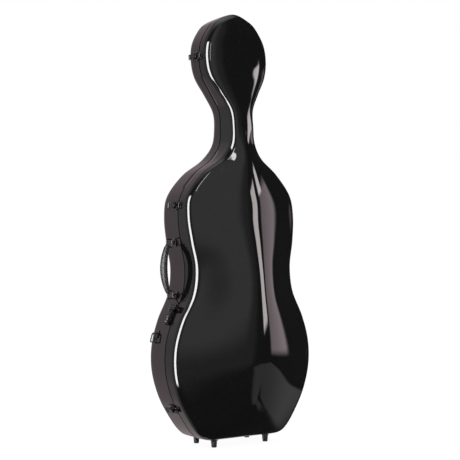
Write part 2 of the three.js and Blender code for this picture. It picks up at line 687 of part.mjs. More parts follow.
// Combination lock: body, dials on an axle, button and hasp on the base, keeper on the lid
function addLock() {
  const group = wallGroup(lock.heightShare * caseHeight, -1, 0, lock.length / 2);
  cello_case.add(group);
  const onBase = leaning(group, -1);
  const onLid = leaning(group, 1);
  const middle = -lock.fromSeam - lock.width / 2;
  const top = touchGap + lock.depth;
  const dialsAt = Array.from({ length: lock.dialCount }, (_, i) => -lock.firstDial + i * lock.dialPitch);
  const body = plate(lock.width, lock.length, lock.depth, lock.corner).translate(touchGap, middle, 0);
  const slotHalf = lock.dialWidth / 2 + lock.slotGap;
  const slotReach = lock.dialRadius + lock.slotGap;
  const slots = dialsAt.map((z) => box(
    touchGap + lock.slotFloor, top + overrun, middle - slotReach, middle + slotReach, z - slotHalf, z + slotHalf));
  const axleHalf = lock.dialPitch * lock.dialCount / 2;
  const axleAt = -lock.firstDial + lock.dialPitch * (lock.dialCount - 1) / 2;
  const axleHole = rodZ(lock.axleRadius + touchGap / 2, 2 * axleHalf + 2 * touchGap, 10)
    .translate(lock.dialOut, middle, axleAt);
  const slideEnd = lock.buttonStem / 2 + touchGap;
  const buttonSlot = box(top - lock.buttonDeep, top + overrun, middle - slideEnd, middle + slideEnd,
    lock.buttonAt - slideEnd - lock.buttonTravel, lock.buttonAt + slideEnd);
  const haspEnd = lock.haspWidth / 2;
  const barrelY = middle - lock.width / 2 + lock.haspBarrel;
  const barrelX = top + lock.haspRise;
  const earMiddle = haspEnd + touchGap + lock.earThickness / 2;
  const ear = (z) => join(
    rodZ(lock.haspBarrel, lock.earThickness, 12).translate(barrelX, barrelY, z),
    box(top - lock.earThickness, barrelX, barrelY - lock.haspBarrel, barrelY + lock.haspBarrel,
      z - lock.earThickness / 2, z + lock.earThickness / 2));
  const pinHole = rodZ(lock.haspPin + touchGap, 2 * earMiddle + overrun, 10);
  pinHole.translate(barrelX, barrelY, lock.haspAt);
  const housing = join(body, ear(lock.haspAt - earMiddle), ear(lock.haspAt + earMiddle));
  add(onBase, "lock_body", cut(housing, ...slots, axleHole, buttonSlot, pinHole), "hardware");
  add(onBase, "lock_axle", rodZ(lock.axleRadius, 2 * axleHalf, 10).translate(lock.dialOut, middle, axleAt), "bright");
  dialsAt.forEach((z, i) => {
    const dial = pivotGroup(onBase, `lock_dial_${i + 1}_pivot`, lock.dialOut, middle, z);
    const wheel = rodZ(lock.dialRadius, lock.dialWidth, 20);
    add(dial, `lock_dial_${i + 1}`, cut(wheel, rodZ(lock.hubRadius, lock.dialWidth + overrun, 8)), "dial");
  });

  const button = pivotGroup(onBase, "lock_button_slide", top, middle, lock.buttonAt);
  const stemHalf = lock.buttonStem / 2;
  const cap = box(touchGap, lock.buttonRise, -lock.buttonWidth / 2, lock.buttonWidth / 2,
    -lock.buttonLength / 2, lock.buttonLength / 2);
  const stem = box(touchGap - lock.buttonDeep, lock.buttonRise / 2, -stemHalf, stemHalf, -stemHalf, stemHalf);
  add(button, "lock_button", join(cap, stem), "bright");

  // Hasp, drawn about its pin, with a nose that drops behind the keeper's hook
  const hasp = pivotGroup(onBase, "lock_hasp_pivot", barrelX, barrelY, lock.haspAt);
  const haspReach = lock.noseReach - barrelY;
  const halfThick = lock.haspThickness / 2;
  const strip = box(-halfThick, halfThick, 0, haspReach, -haspEnd, haspEnd);
  const noseBack = haspReach - lock.noseThickness;
  const nose = box(lock.noseOut - barrelX, halfThick, noseBack, haspReach, -haspEnd / 2, haspEnd / 2);
  const barrel = rodZ(lock.haspBarrel, 2 * haspEnd, 12);
  const haspPin = rodZ(lock.haspPin, 2 * (earMiddle + lock.earThickness / 2), 10);
  add(hasp, "lock_hasp", join(strip, nose, barrel, haspPin), "hardware");

  const hookBack = lock.noseReach - lock.noseThickness - 2 * touchGap;
  const keeperPlate = plate(lock.keeperLength, lock.keeperWidth, latch.plateThickness, latch.keeperCorner);
  keeperPlate.translate(touchGap, latch.fromSeam + lock.keeperLength / 2, lock.haspAt);
  const hook = box(touchGap + latch.plateThickness / 2, lock.hookHeight, hookBack - lock.hookThickness, hookBack,
    lock.haspAt - haspEnd / 2, lock.haspAt + haspEnd / 2);
  add(onLid, "lock_keeper", join(keeperPlate, hook), "hardware");
}

// Carrying handle on the left wall: brackets, D-rings and a crescent grip that swings about one line
function addHandle() {
  const eyes = [handle.lowerHeightShare, handle.upperHeightShare].map((share) => {
    const seat = wallGroup(share * caseHeight, -1, handle.depth, handle.plateLength / 2);
    seat.rotateZ(-draftAngle);
    seat.updateMatrix();
    return { seat, eye: new THREE.Vector3(handle.eyeOut, 0, 0).applyMatrix4(seat.matrix) };
  });
  const up = new THREE.Vector3().subVectors(eyes[1].eye, eyes[0].eye);
  const span = up.length();
  up.normalize();
  const out = new THREE.Vector3(-up.z, 0, up.x);
  const frame = new THREE.Matrix4().makeBasis(out, new THREE.Vector3().crossVectors(up, out), up);
  const swing = pivotGroup(cello_case, "handle_pivot", 0, 0, 0);
  swing.applyMatrix4(frame);
  swing.position.copy(eyes[0].eye).lerp(eyes[1].eye, 0.5);

  const ringOutline = roundedOutline(handle.ringReach, handle.ringLength, handle.ringCorner);
  const ring = (z, radius) => wireLoop(ringOutline, (p) => new THREE.Vector3(p.x + handle.ringReach / 2, 0, p.y + z),
    new THREE.Vector3(0, 1, 0), radius);
  eyes.forEach(({ seat, eye }, i) => {
    const word = ["lower", "upper"][i];
    const direction = new THREE.Matrix4().copy(frame).setPosition(eye);
    const half = handle.barrelLength / 2;
    const barrel = rodZ(handle.barrelRadius, handle.barrelLength, 12).applyMatrix4(direction);
    const bore = rodZ(handle.boreRadius, handle.barrelLength + overrun, 10).applyMatrix4(direction);
    const foot = plate(handle.plateWidth, handle.plateLength, handle.plateThickness, handle.plateCorner)
      .translate(touchGap, 0, 0).applyMatrix4(seat.matrix);
    const web = box(
      touchGap + handle.plateThickness / 2, handle.eyeOut, -handle.plateThickness, handle.plateThickness,
      -half + touchGap, half - touchGap).applyMatrix4(seat.matrix);
    add(cello_case, `handle_bracket_${word}`, cut(join(foot, barrel, web), bore), "hardware");
    const z = (i - 0.5) * span;
    add(swing, `handle_ring_${word}`, ring(z, handle.ringWire), "bright");
  });

  // Crescent path from one ring to the other, ending past the near side of each ring
  const gripHalf = span / 2 - handle.ringLength / 2 + handle.gripOverRing;
  const path = Array.from({ length: handle.gripSteps + 1 }, (_, i) => {
    const share = 2 * i / handle.gripSteps - 1;
    const bulge = Math.cos(share * Math.PI / 2) ** handle.bulgePower;
    return new THREE.Vector3(mix(handle.gripEndOut, handle.gripReach - handle.gripThick, bulge), 0, share * gripHalf);
  });
  const swell = (share) => Math.sin(share * Math.PI) ** handle.swellPower;
  const across = (share) => mix(handle.gripEndRadius, handle.gripWide, swell(share));
  const within = (share) => mix(handle.gripEndRadius, handle.gripThick, swell(share));
  const grip = flatTube(path, new THREE.Vector3(0, 1, 0), across, within, 10, false);
  const ringHoles = [-0.5, 0.5].map((share) => ring(share * span, handle.ringWire + 2 * touchGap));
  add(swing, "handle_grip", cut(grip, ...ringHoles), "leather");
}

// Strap ring: a plate with a barrel, and a D-ring that hangs from it; X points out of the case
function addStrapRing(word, group) {
  const barrel = rodY(strap.barrelRadius, strap.barrelLength, 12).translate(strap.pivotOut, 0, 0);
  const bore = rodY(strap.boreRadius, strap.barrelLength + overrun, 10).translate(strap.pivotOut, 0, 0);
  const foot = plate(strap.plateWidth, strap.plateLength, strap.plateThickness, strap.plateCorner);
  foot.translate(touchGap, 0, 0);
  const web = box(
    touchGap + strap.plateThickness / 2, strap.pivotOut, -strap.barrelLength / 2, strap.barrelLength / 2,
    -strap.plateThickness, strap.plateThickness);
  add(group, `strap_bracket_${word}`, cut(join(foot, barrel, web), bore), "hardware");
  const swing = pivotGroup(group, `strap_ring_${word}_pivot`, strap.pivotOut, 0, 0);
  const outline = roundedOutline(strap.ringWidth, strap.ringDrop, strap.ringCorner);
  const wire = wireLoop(outline, (p) => new THREE.Vector3(0, p.x, p.y - strap.ringDrop / 2),
    new THREE.Vector3(1, 0, 0), strap.ringWire);
  add(swing, `strap_ring_${word}`, wire, "bright");
}

function addStrapRings() {
  for (const [word, hand] of [["left", -1], ["right", 1]]) {
    const group = wallGroup(strap.lowerHeightShare * caseHeight, hand, strap.lowerDepth, strap.plateLength / 2);
    group.rotateZ(hand * draftAngle);
    cello_case.add(group);
    addStrapRing(`lower_${word}`, group);
  }
  // The upper one sits in the middle of the back, near the neck
  const upperHeight = strap.upperHeightShare * caseHeight;
  const [low, high] = [-strap.plateLength / 2, strap.plateLength / 2].map((rise) => backPoint(upperHeight + rise));
  const up = new THREE.Vector3().subVectors(high, low).normalize();
  const out = new THREE.Vector3(0, up.z, -up.y);
  const group = new THREE.Group();
  group.applyMatrix4(new THREE.Matrix4().makeBasis(out, new THREE.Vector3().crossVectors(up, out), up));
  group.position.copy(low).lerp(high, 0.5).addScaledVector(out, touchGap);
  cello_case.add(group);
  addStrapRing("upper", group);
}

// The middle of the back at a height
function backPoint(height) {
  let low = 0;
  let high = 1;
  for (let i = 0; i < 40; i += 1) {
    const middle = (low + high) / 2;
    if (surfacePoint(baseSide, middle, 3, 0, 0).z < height) low = middle;
    else high = middle;
  }
  return surfacePoint(baseSide, low, 3, 0, 0);
}

// Pads inside the base, each cut to the room between the linings
function addPads() {
  const room = roomInside(baseSide, baseRoomInset, pads.fromRim);
  const far = lowerBout;
  for (const [hand, word] of [[-1, "left"], [1, "right"]]) {
    const bouts = [
      ["lower", cello.lowerBoutShare, pads.lowerHeightShare],
      ["upper", cello.upperBoutShare, pads.upperHeightShare],
    ];
    for (const [where, widthShare, heightShare] of bouts) {
      const height = heightShare * caseHeight;
      const from = widthShare * lowerBout / 2 + touchGap;
      const [x0, x1] = hand > 0 ? [from, far] : [-far, -from];
      const slab = box(x0, x1, 0, far, height - pads.sideLength / 2, height + pads.sideLength / 2);
      add(cello_case, `${where}_bout_pad_${word}`, common(room, slab), "plush");
    }
  }
  const blockHalf = pads.blockWidth / 2;
  const blockTop = footHeight + baseRoomInset + pads.blockHeight;
  const block = common(room, box(-blockHalf, blockHalf, 0, pads.fromRim + pads.blockDepth, 0, blockTop));
  const endpin = rodZ(cello.endpinDiameter / 2, pads.blockHeight, 20)
    .translate(0, pads.fromRim + pads.blockDepth / 2, blockTop);
  add(cello_case, "endpin_block", cut(block, endpin), "plush");

  const neckRoom = roomInside(baseSide, baseRoomInset, pads.cradleFromRim);
  const cradleHeight = pads.cradleHeightShare * caseHeight;
  const half = pads.cradleLength / 2;
  const cradle = common(neckRoom, box(-far, far, 0, far, cradleHeight - half, cradleHeight + half));
  const notch = box(-cello.neckWidth / 2, cello.neckWidth / 2, 0, pads.cradleFromRim + cello.neckDepth,
    cradleHeight - pads.cradleLength, cradleHeight + pads.cradleLength);
  add(cello_case, "neck_cradle", cut(cradle, notch), "plush");
  const strapHalf = station(partAtHeight(cradleHeight)).halfWidth - baseRoomInset - pads.strapEndIn;
  const strapPath = Array.from({ length: pads.strapSteps + 1 }, (_, i) => {
    const turn = Math.PI * i / pads.strapSteps;
    const y = pads.cradleFromRim - touchGap - pads.strapRise * Math.sin(turn);
    return new THREE.Vector3(-strapHalf * Math.cos(turn), y, cradleHeight);
  });
  add(cello_case, "neck_strap", flatTube(strapPath, new THREE.Vector3(0, 0, 1), () => pads.strapWidth / 2,
    () => pads.strapThickness / 2, 6, false), "webbing");
}

// Bow holders in the lid: a turn clip low down and a tip pouch high up for each bow
function addBowHolders(lidLining) {
  const face = new THREE.Mesh(lidLining, new THREE.MeshBasicMaterial({ side: THREE.DoubleSide }));
  // A group on the lining with X pointing inwards, where a flat foot of the given outline rests on the hollow
  const seat = (x, z, outline) => {
    const ray = new THREE.Raycaster(new THREE.Vector3(x, 0, z), new THREE.Vector3(0, -1, 0));
    const hit = ray.intersectObject(face)[0];
    const inward = hit.face.normal.clone();
    if (inward.y < 0) inward.negate();
    const up = new THREE.Vector3(0, 0, 1).addScaledVector(inward, -inward.z).normalize();
    const side = new THREE.Vector3().crossVectors(up, inward);
    let rise = 0;
    for (const share of [0, 0.5, 1]) {
      for (const corner of outline.getPoints(2)) {
        const from = hit.point.clone().addScaledVector(side, share * corner.x).addScaledVector(up, share * corner.y);
        ray.set(from.addScaledVector(inward, lidDepth), inward.clone().negate());
        rise = Math.max(rise, lidDepth - ray.intersectObject(face)[0].distance);
      }
    }
    const group = new THREE.Group();
    group.applyMatrix4(new THREE.Matrix4().makeBasis(inward, side, up));
    group.position.copy(hit.point).addScaledVector(inward, rise + touchGap);
    cello_case.add(group);
    return group;
  };
  for (const [word, hand] of [["left", -1], ["right", 1]]) {
    const postFoot = roundedOutline(2 * bow.postRadius, 2 * bow.postRadius, bow.postRadius);
    const clip = seat(hand * bow.clipSpacing / 2, bow.clipHeightShare * caseHeight, postFoot);
    const post = rodZ(bow.postRadius, bow.postHeight, 14).rotateY(Math.PI / 2).translate(bow.postHeight / 2, 0, 0);
    add(clip, `bow_clip_post_${word}`, post, "hardware");
    const turn = pivotGroup(clip, `bow_clip_${word}_pivot`, bow.postHeight + touchGap, 0, 0);
    const stem = rodZ(bow.stemRadius, bow.stemHeight, 10).rotateY(Math.PI / 2).translate(bow.stemHeight / 2, 0, 0);
    const wing = plate(bow.wingWidth, bow.wingLength, bow.wingThickness, bow.wingWidth / 2)
      .translate(bow.stemHeight - bow.wingThickness / 2, 0, 0);
    add(turn, `bow_clip_${word}`, join(stem, wing), "webbing");

    const pouchFoot = roundedOutline(bow.pouchWidth, bow.pouchLength, bow.pouchCorner);
    const holder = seat(hand * bow.pouchSpacing / 2, bow.pouchHeightShare * caseHeight, pouchFoot);
    const outer = plate(bow.pouchWidth, bow.pouchLength, bow.pouchDepth, bow.pouchCorner);
    const wall = bow.pouchWall;
    const inner = plate(bow.pouchWidth - 2 * wall, bow.pouchLength, bow.pouchDepth - 2 * wall, bow.pouchInnerCorner)
      .translate(wall, 0, -wall);
    add(holder, `bow_pouch_${word}`, cut(outer, inner), "plush");
  }
}

addShells();
addFeet();
addHinges();
addDrawLatch("head", latch.headHeightShare);
addDrawLatch("upper", latch.upperHeightShare);
addDrawLatch("lower", latch.lowerHeightShare);
addLock();
addHandle();
addStrapRings();
addPads();
addBowHolders(cello_case.getObjectByName("lid_lining").geometry);

// The parting plane moves off the origin so that the case's depth is centred on it
cello_case.position.y = (lidDepth - baseDepth - backCrown) / 2;

export default cello_case;
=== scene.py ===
import json
import math
import bmesh
import bpy
import numpy as np
from mathutils import Matrix, Vector
from mathutils.bvhtree import BVHTree

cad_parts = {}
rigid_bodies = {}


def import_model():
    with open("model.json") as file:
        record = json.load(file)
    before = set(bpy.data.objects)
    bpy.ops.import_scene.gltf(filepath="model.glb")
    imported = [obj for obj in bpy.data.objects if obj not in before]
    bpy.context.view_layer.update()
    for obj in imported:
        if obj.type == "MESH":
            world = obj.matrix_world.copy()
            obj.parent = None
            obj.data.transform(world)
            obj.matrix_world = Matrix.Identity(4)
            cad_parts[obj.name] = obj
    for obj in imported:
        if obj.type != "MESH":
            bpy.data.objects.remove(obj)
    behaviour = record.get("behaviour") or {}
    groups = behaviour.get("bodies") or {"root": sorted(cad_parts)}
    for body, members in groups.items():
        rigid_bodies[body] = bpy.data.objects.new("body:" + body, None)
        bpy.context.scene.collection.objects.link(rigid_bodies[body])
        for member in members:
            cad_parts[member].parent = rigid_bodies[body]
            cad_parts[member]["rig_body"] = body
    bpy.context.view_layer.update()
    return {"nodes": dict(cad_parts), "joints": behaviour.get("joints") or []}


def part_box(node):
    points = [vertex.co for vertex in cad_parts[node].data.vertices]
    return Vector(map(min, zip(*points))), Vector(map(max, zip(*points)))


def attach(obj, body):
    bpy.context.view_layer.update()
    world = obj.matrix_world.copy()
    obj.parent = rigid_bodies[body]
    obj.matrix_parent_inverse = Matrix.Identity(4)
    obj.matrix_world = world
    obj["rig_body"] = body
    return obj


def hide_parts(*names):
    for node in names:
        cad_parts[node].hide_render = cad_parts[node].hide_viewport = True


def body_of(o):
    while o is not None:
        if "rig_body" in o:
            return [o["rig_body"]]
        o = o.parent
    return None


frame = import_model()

mm = 0.001
print("frame loaded:", len(frame["nodes"]), "nodes")

# Camera, as the photograph was taken: metres and degrees, pixels of the 460 x 460 picture
view = {
    "target": (0, 0.017, 0.66805), "distance": 3.8726, "azimuth": -32.606, "elevation": -0.712, "roll": -0.982,
    "focalPixels": 1242.3, "picturePixels": 460, "centrePixel": (233.26, 228.8), "sensor": 36,
}


def makeCamera():
    turn, tilt, roll = (math.radians(view[key]) for key in ("azimuth", "elevation", "roll"))
    back = Vector((math.sin(turn) * math.cos(tilt), -math.cos(turn) * math.cos(tilt), math.sin(tilt)))
    right = Vector((math.cos(turn), math.sin(turn), 0))
    up = back.cross(right)
    level = right * math.cos(roll) + up * math.sin(roll)
    upright = up * math.cos(roll) - right * math.sin(roll)
    data = bpy.data.cameras.new("camera")
    data.sensor_width = view["sensor"]
    data.lens = view["focalPixels"] / view["picturePixels"] * view["sensor"]
    middle = view["picturePixels"] / 2
    data.shift_x = (middle - view["centrePixel"][0]) / view["picturePixels"]
    data.shift_y = (view["centrePixel"][1] - middle) / view["picturePixels"]
    camera = bpy.data.objects.new("camera", data)
    place = Vector(view["target"]) + back * view["distance"]
    camera.matrix_world = frameOf(place, level, upright, back)
    bpy.context.scene.collection.objects.link(camera)
    bpy.context.scene.camera = camera


def frameOf(place, x, y, z):
    return Matrix(((x.x, y.x, z.x, place.x), (x.y, y.y, z.y, place.y), (x.z, y.z, z.z, place.z), (0, 0, 0, 1)))


makeCamera()
print("camera placed")


# A socket with the arithmetic that finishes are written in
class Wire:
    def __init__(self, paint, socket):
        self.paint = paint
        self.socket = socket

    def maths(self, operation, *values):
        return self.paint.node("ShaderNodeMath", {"operation": operation}, dict(enumerate(values)))

    def __add__(self, other):
        return self.maths("ADD", self, other)

    def __radd__(self, other):
        return self.maths("ADD", other, self)

    def __mul__(self, other):
        return self.maths("MULTIPLY", self, other)

    def __rmul__(self, other):
        return self.maths("MULTIPLY", other, self)

    def __lt__(self, other):
        return self.maths("LESS_THAN", self, other)


# A node tree with one way to add any node; settings come first, then socket values or wires
class NodeTree:
    def __init__(self, tree):
        self.tree = tree
        tree.nodes.clear()

    def fill(self, socket, value):
        if isinstance(value, Wire):
            self.tree.links.new(value.socket, socket)
        elif socket.type == "RGBA":
            socket.default_value = (*value[:3], 1)
        else:
            socket.default_value = value

    def node(self, kind, settings=None, inputs=None, output=0):
        made = self.tree.nodes.new(kind)
        for key, value in (settings or {}).items():
            setattr(made, key, value)
        for key, value in (inputs or {}).items():
            self.fill(made.inputs[key], value)
        return Wire(self, made.outputs[output])

    def place(self, scale=(1, 1, 1)):
        where = self.node("ShaderNodeTexCoord", output="Object")
        return self.node("ShaderNodeMapping", {}, {"Vector": where, "Scale": scale})

    def noise(self, scale, detail=2, rough=0.5, where=None):
        return self.node("ShaderNodeTexNoise", {}, {
            "Vector": where or self.place(), "Scale": scale, "Detail": detail, "Roughness": rough})

    def cells(self, scale, feature):
        return self.node("ShaderNodeTexVoronoi", {"feature": feature}, {"Vector": self.place(), "Scale": scale})

    def ease(self, value, low, high, start=0.0, end=1.0):
        return self.node("ShaderNodeMapRange", {"interpolation_type": "SMOOTHSTEP"}, {
            0: value, 1: low, 2: high, 3: start, 4: end})

    def blend(self, share, first, second):
        return self.node("ShaderNodeMix", {"data_type": "RGBA"}, {0: share, 6: first, 7: second}, 2)


# One finish: a node tree round a Principled shader
class Paint(NodeTree):
    def __init__(self, name, **fixed):
        self.material = bpy.data.materials.new(name)
        self.material.use_nodes = True
        super().__init__(self.material.node_tree)
        self.shader = self.tree.nodes.new("ShaderNodeBsdfPrincipled")
        output = self.tree.nodes.new("ShaderNodeOutputMaterial")
        self.tree.links.new(self.shader.outputs[0], output.inputs["Surface"])
        for key, value in fixed.items():
            self.set(key.replace("_", " "), value)

    def set(self, name, value):
        self.fill(self.shader.inputs[name], value)

    def bump(self, height, depth, strength):
        self.set("Normal", self.node("ShaderNodeBump", {}, {
            "Height": height, "Distance": depth, "Strength": strength}))


# Studio: white to the camera; glossy surfaces see soft boxes by bearing and height in degrees,
# where bearing 0 is left of the case, 90 in front of the lid and 180 right; cloth and rubber see an even light
studio = {
    "white": (1, 1, 1), "even": (0.62, 0.62, 0.64), "dark": (0.03, 0.03, 0.03), "bearingsFrom": -130,
    "floorShare": 0.1, "floorSize": 30,
}
softBoxes = [
    {"bearing": (-200, -60), "rise": (-30, 90), "soft": 4, "light": (0.5, 0.41, 0.43)},
    {"bearing": (-200, -60), "rise": (-90, -30), "soft": 6, "light": (0.8, 0.7, 0.7)},
    {"bearing": (-60, -8), "rise": (-60, 75), "soft": 5, "light": (0.42, 0.41, 0.42)},
    {"bearing": (3, 27), "rise": (-28, 37), "soft": 2.5, "light": (23, 23, 23)},
    {"bearing": (54, 90), "rise": (-3, 60), "soft": 8, "light": (0.4, 0.39, 0.39)},
    {"bearing": (34, 106), "rise": (-24, 60), "soft": 8, "light": (0.19, 0.18, 0.18)},
    {"bearing": (-200, 230), "rise": (66, 95), "soft": 10, "light": (0.9, 0.9, 0.95)},
]


def makeStudio():
    world = bpy.data.worlds.new("studio")
    bpy.context.scene.world = world
    world.use_nodes = True
    sky = NodeTree(world.node_tree)
    where = sky.node("ShaderNodeTexCoord", output="Generated")
    parts = sky.node("ShaderNodeSeparateXYZ", {}, {0: where})
    x, y, z = (Wire(sky, parts.socket.node.outputs[i]) for i in range(3))
    degrees = 180 / math.pi
    turn = sky.node("ShaderNodeMath", {"operation": "ARCTAN2"}, {0: y * -1, 1: x * -1}) * degrees
    bearing = turn + (turn < studio["bearingsFrom"]) * 360
    rise = sky.node("ShaderNodeMath", {"operation": "ARCSINE"}, {0: z}) * degrees
    glossy = studio["dark"]
    for box in softBoxes:
        soft = box["soft"]
        share = 1
        for value, key in ((bearing, "bearing"), (rise, "rise")):
            low, high = box[key]
            share = share * sky.ease(value, low - soft, low + soft)
            share = share * sky.ease(value, high - soft, high + soft, 1.0, 0.0)
        glow = sky.node("ShaderNodeVectorMath", {"operation": "SCALE"}, {0: box["light"], "Scale": share})
        glossy = sky.node("ShaderNodeVectorMath", {"operation": "ADD"}, {0: glossy, 1: glow})
    path = sky.tree.nodes.new("ShaderNodeLightPath")
    seen = sky.blend(Wire(sky, path.outputs["Is Glossy Ray"]), studio["even"], glossy)
    seen = sky.blend(Wire(sky, path.outputs["Is Camera Ray"]), seen, studio["white"])
    ground = sky.node("ShaderNodeBackground", {}, {"Color": seen})
    world.cycles.sampling_method = "NONE"  # soft boxes are found by the reflections alone
    output = sky.tree.nodes.new("ShaderNodeOutputWorld")
    sky.tree.links.new(ground.socket, output.inputs["Surface"])
    bpy.context.scene.view_settings.view_transform = "Standard"


def makeFloor():
    size = studio["floorSize"] / 2
    mesh = bmesh.new()
    bmesh.ops.create_grid(mesh, x_segments=4, y_segments=4, size=size)
    data = bpy.data.meshes.new("floor")
    mesh.to_mesh(data)
    mesh.free()
    floor = bpy.data.objects.new("floor", data)
    bpy.context.scene.collection.objects.link(floor)
    share = studio["floorShare"]
    paint = Paint("floor_white", Roughness=0.9, Specular_IOR_Level=0.0, Emission_Strength=1.0)
    tint = paint.ease(paint.noise(0.6), 0.3, 0.7, 0.97, 1.0)
    paint.set("Base Color", paint.blend(tint, (0.1, 0.1, 0.1), (share, share, share)))
    paint.set("Emission Color", (1 - share / 2, 1 - share / 2, 1 - share / 2))
    floor.data.materials.append(paint.material)
    floor.visible_glossy = False
    floor.visible_diffuse = False


# Lamps, in metres and watts: large ones that model cloth, rubber and leather, and cards that only gloss shows
lamps = {
    "key": {"at": (-2.6, -1.8, 2.6), "size": (1.6, 1.6), "watts": 46},
    "front": {"at": (1.6, -3.4, 1.4), "size": (2.2, 2.2), "watts": 30},
    "back": {"at": (1.4, 3.2, 2.4), "size": (2.0, 2.0), "watts": 34},
}
cards = {
    "ridgeStrip": {"bearing": 125, "away": 1.2, "rise": 0.76, "size": (0.36, 1.08), "lean": 18, "edge": (0.14, 0.08),
                   "glow": (8.8, 8.1, 8)},
    "neckCard": {"bearing": 144, "away": 1.2, "rise": 1.24, "size": (0.34, 0.38), "lean": 12, "edge": (0.2, 0.2),
                 "glow": (9, 8.4, 8.3)},
    "rightCard": {"bearing": 159, "away": 1.5, "rise": 0.65, "size": (1.02, 1.36), "lean": 7, "edge": (0.16, 0.1),
                  "glow": (2.1, 1.75, 1.85)},
    "curlCard": {"bearing": 49.8, "away": 0.81, "rise": 1.5, "size": (0.07, 0.44), "lean": 0, "edge": (0.2, 0.12),
                 "glow": (16, 16, 16)},
    "floorCard": {"bearing": 152, "away": 0.42, "rise": 0.002, "size": (0.62, 0.62), "lean": 0, "edge": (0.12, 0.12),
                  "glow": (0.4, 0.38, 0.385), "up": True},
}
cardCentre = (0.05, -0.12)
lampAim = (0, 0, 0.7)


def makeLamp(name, place, aim, size, watts, shade=(1, 1, 1), lean=0.0):
    data = bpy.data.lights.new(name, "AREA")
    data.shape = "RECTANGLE"
    data.size, data.size_y = size
    data.energy = watts
    data.color = shade
    light = bpy.data.objects.new(name, data)
    turn = (aim - place).to_track_quat("-Z", "Y").to_matrix() @ Matrix.Rotation(math.radians(lean), 3, "Z")
    light.matrix_world = Matrix.Translation(place) @ turn.to_4x4()
    bpy.context.scene.collection.objects.link(light)
    return light


# A card's light, faded out towards its edges
def softenCard(light, edge):
    light.data.use_nodes = True
    card = NodeTree(light.data.node_tree)
    spot = card.node("ShaderNodeNewGeometry", output="Parametric")
    parts = card.node("ShaderNodeSeparateXYZ", {}, {0: spot})
    share = 1
    for i, soft in enumerate(edge):
        along = Wire(card, parts.socket.node.outputs[i])
        share = share * card.ease(along, 0, soft) * card.ease(along, 1 - soft, 1, 1.0, 0.0)
    glow = card.node("ShaderNodeEmission", {}, {"Strength": share})
    output = card.tree.nodes.new("ShaderNodeOutputLight")
    card.tree.links.new(glow.socket, output.inputs["Surface"])


def makeLamps():
    for name, lamp in lamps.items():
        light = makeLamp(name, Vector(lamp["at"]), Vector(lampAim), lamp["size"], lamp["watts"])
        light.visible_glossy = False
    for name, card in cards.items():
        turn = math.radians(card["bearing"])
        x, y = cardCentre
        place = Vector((x - math.cos(turn) * card["away"], y - math.sin(turn) * card["away"], card["rise"]))
        most = max(card["glow"])
        watts = math.pi * card["size"][0] * card["size"][1] * most
        shade = [part / most for part in card["glow"]]
        aim = place + Vector((0, 0, 1)) if card.get("up") else Vector((x, y, card["rise"]))
        light = makeLamp(name, place, aim, card["size"], watts, shade, card["lean"])
        light.visible_diffuse = False
        softenCard(light, card["edge"])


makeStudio()
makeFloor()
makeLamps()
print("studio lit")


# Finishes
def tones(shade, *shares):
    return [[part * share for part in shade] for share in shares]


def glossLacquer():  # sprayed fibre under clear lacquer
    look = {"deep": (0.0055, 0.0052, 0.0056), "fleck": (0.02, 0.019, 0.02), "fleckSize": 420, "haze": 9,
            "gloss": 60, "ripple": 26}
    paint = Paint("gloss_lacquer", Metallic=0.0, Coat_Roughness=0.018, Coat_IOR=1.5, Specular_IOR_Level=0.0)
    fleck = paint.ease(paint.noise(look["fleckSize"], 3, 0.65), 0.52, 0.72)
    haze = paint.ease(paint.noise(look["haze"], 3), 0.35, 0.7)
    paint.set("Base Color", paint.blend(fleck * (0.35 + haze * 0.65), look["deep"], look["fleck"]))
    paint.set("Roughness", paint.ease(haze, 0, 1, 0.34, 0.42))
    paint.set("Coat Weight", paint.ease(paint.noise(look["gloss"]), 0.2, 0.8, 0.97, 1.0))
    paint.bump(paint.noise(look["ripple"], 1), 0.00002, 0.3)
    return paint


def rubber(name, shade, grain, shine=0.35):
    paint = Paint(name, Specular_IOR_Level=shine)
    cloud = paint.noise(grain, 4, 0.6)
    paint.set("Base Color", paint.blend(cloud, *tones(shade, 0.75, 1.3)))
    paint.set("Roughness", paint.ease(cloud, 0.3, 0.7, 0.62, 0.82))
    paint.bump(cloud, 0.00006, 0.5)
    return paint


def blackHardware():  # enamelled steel, rubbed a little grey
    look = {"black": (0.011, 0.011, 0.012), "rubbed": (0.07, 0.068, 0.066), "wear": 700, "broad": 90, "grit": 1100}
    paint = Paint("black_enamel")
    wear = paint.ease(paint.noise(look["wear"], 4, 0.7), 0.6, 0.78)
    broad = paint.noise(look["broad"], 2)
    paint.set("Base Color", paint.blend(wear * 0.5, look["black"], look["rubbed"]))
    paint.set("Metallic", paint.ease(broad, 0.3, 0.7, 0.1, 0.25))
    paint.set("Roughness", paint.ease(broad, 0.3, 0.7, 0.26, 0.4))
    paint.bump(paint.noise(look["grit"], 2), 0.00002, 0.35)
    return paint


def brightSteel():
    look = {"dull": (0.56, 0.55, 0.54), "bright": (0.72, 0.72, 0.71), "smear": 220}
    paint = Paint("bright_steel", Metallic=1.0)
    smear = paint.noise(look["smear"], 3)
    paint.set("Base Color", paint.blend(smear, look["dull"], look["bright"]))
    paint.set("Roughness", paint.ease(smear, 0.3, 0.75, 0.1, 0.24))
    return paint


def darkNickel():  # black nickel plate, thin on the bends
    look = {"deep": (0.035, 0.034, 0.034), "light": (0.08, 0.078, 0.076), "rubbed": (0.3, 0.29, 0.28),
            "smear": 260, "wear": 900}
    paint = Paint("dark_nickel", Metallic=1.0)
    smear = paint.noise(look["smear"], 3)
    rubbed = paint.ease(paint.noise(look["wear"], 3, 0.7), 0.58, 0.74)
    plate = paint.blend(smear, look["deep"], look["light"])
    paint.set("Base Color", paint.blend(rubbed * 0.5, plate, look["rubbed"]))
    paint.set("Roughness", paint.ease(smear, 0.3, 0.75, 0.16, 0.3))
    return paint


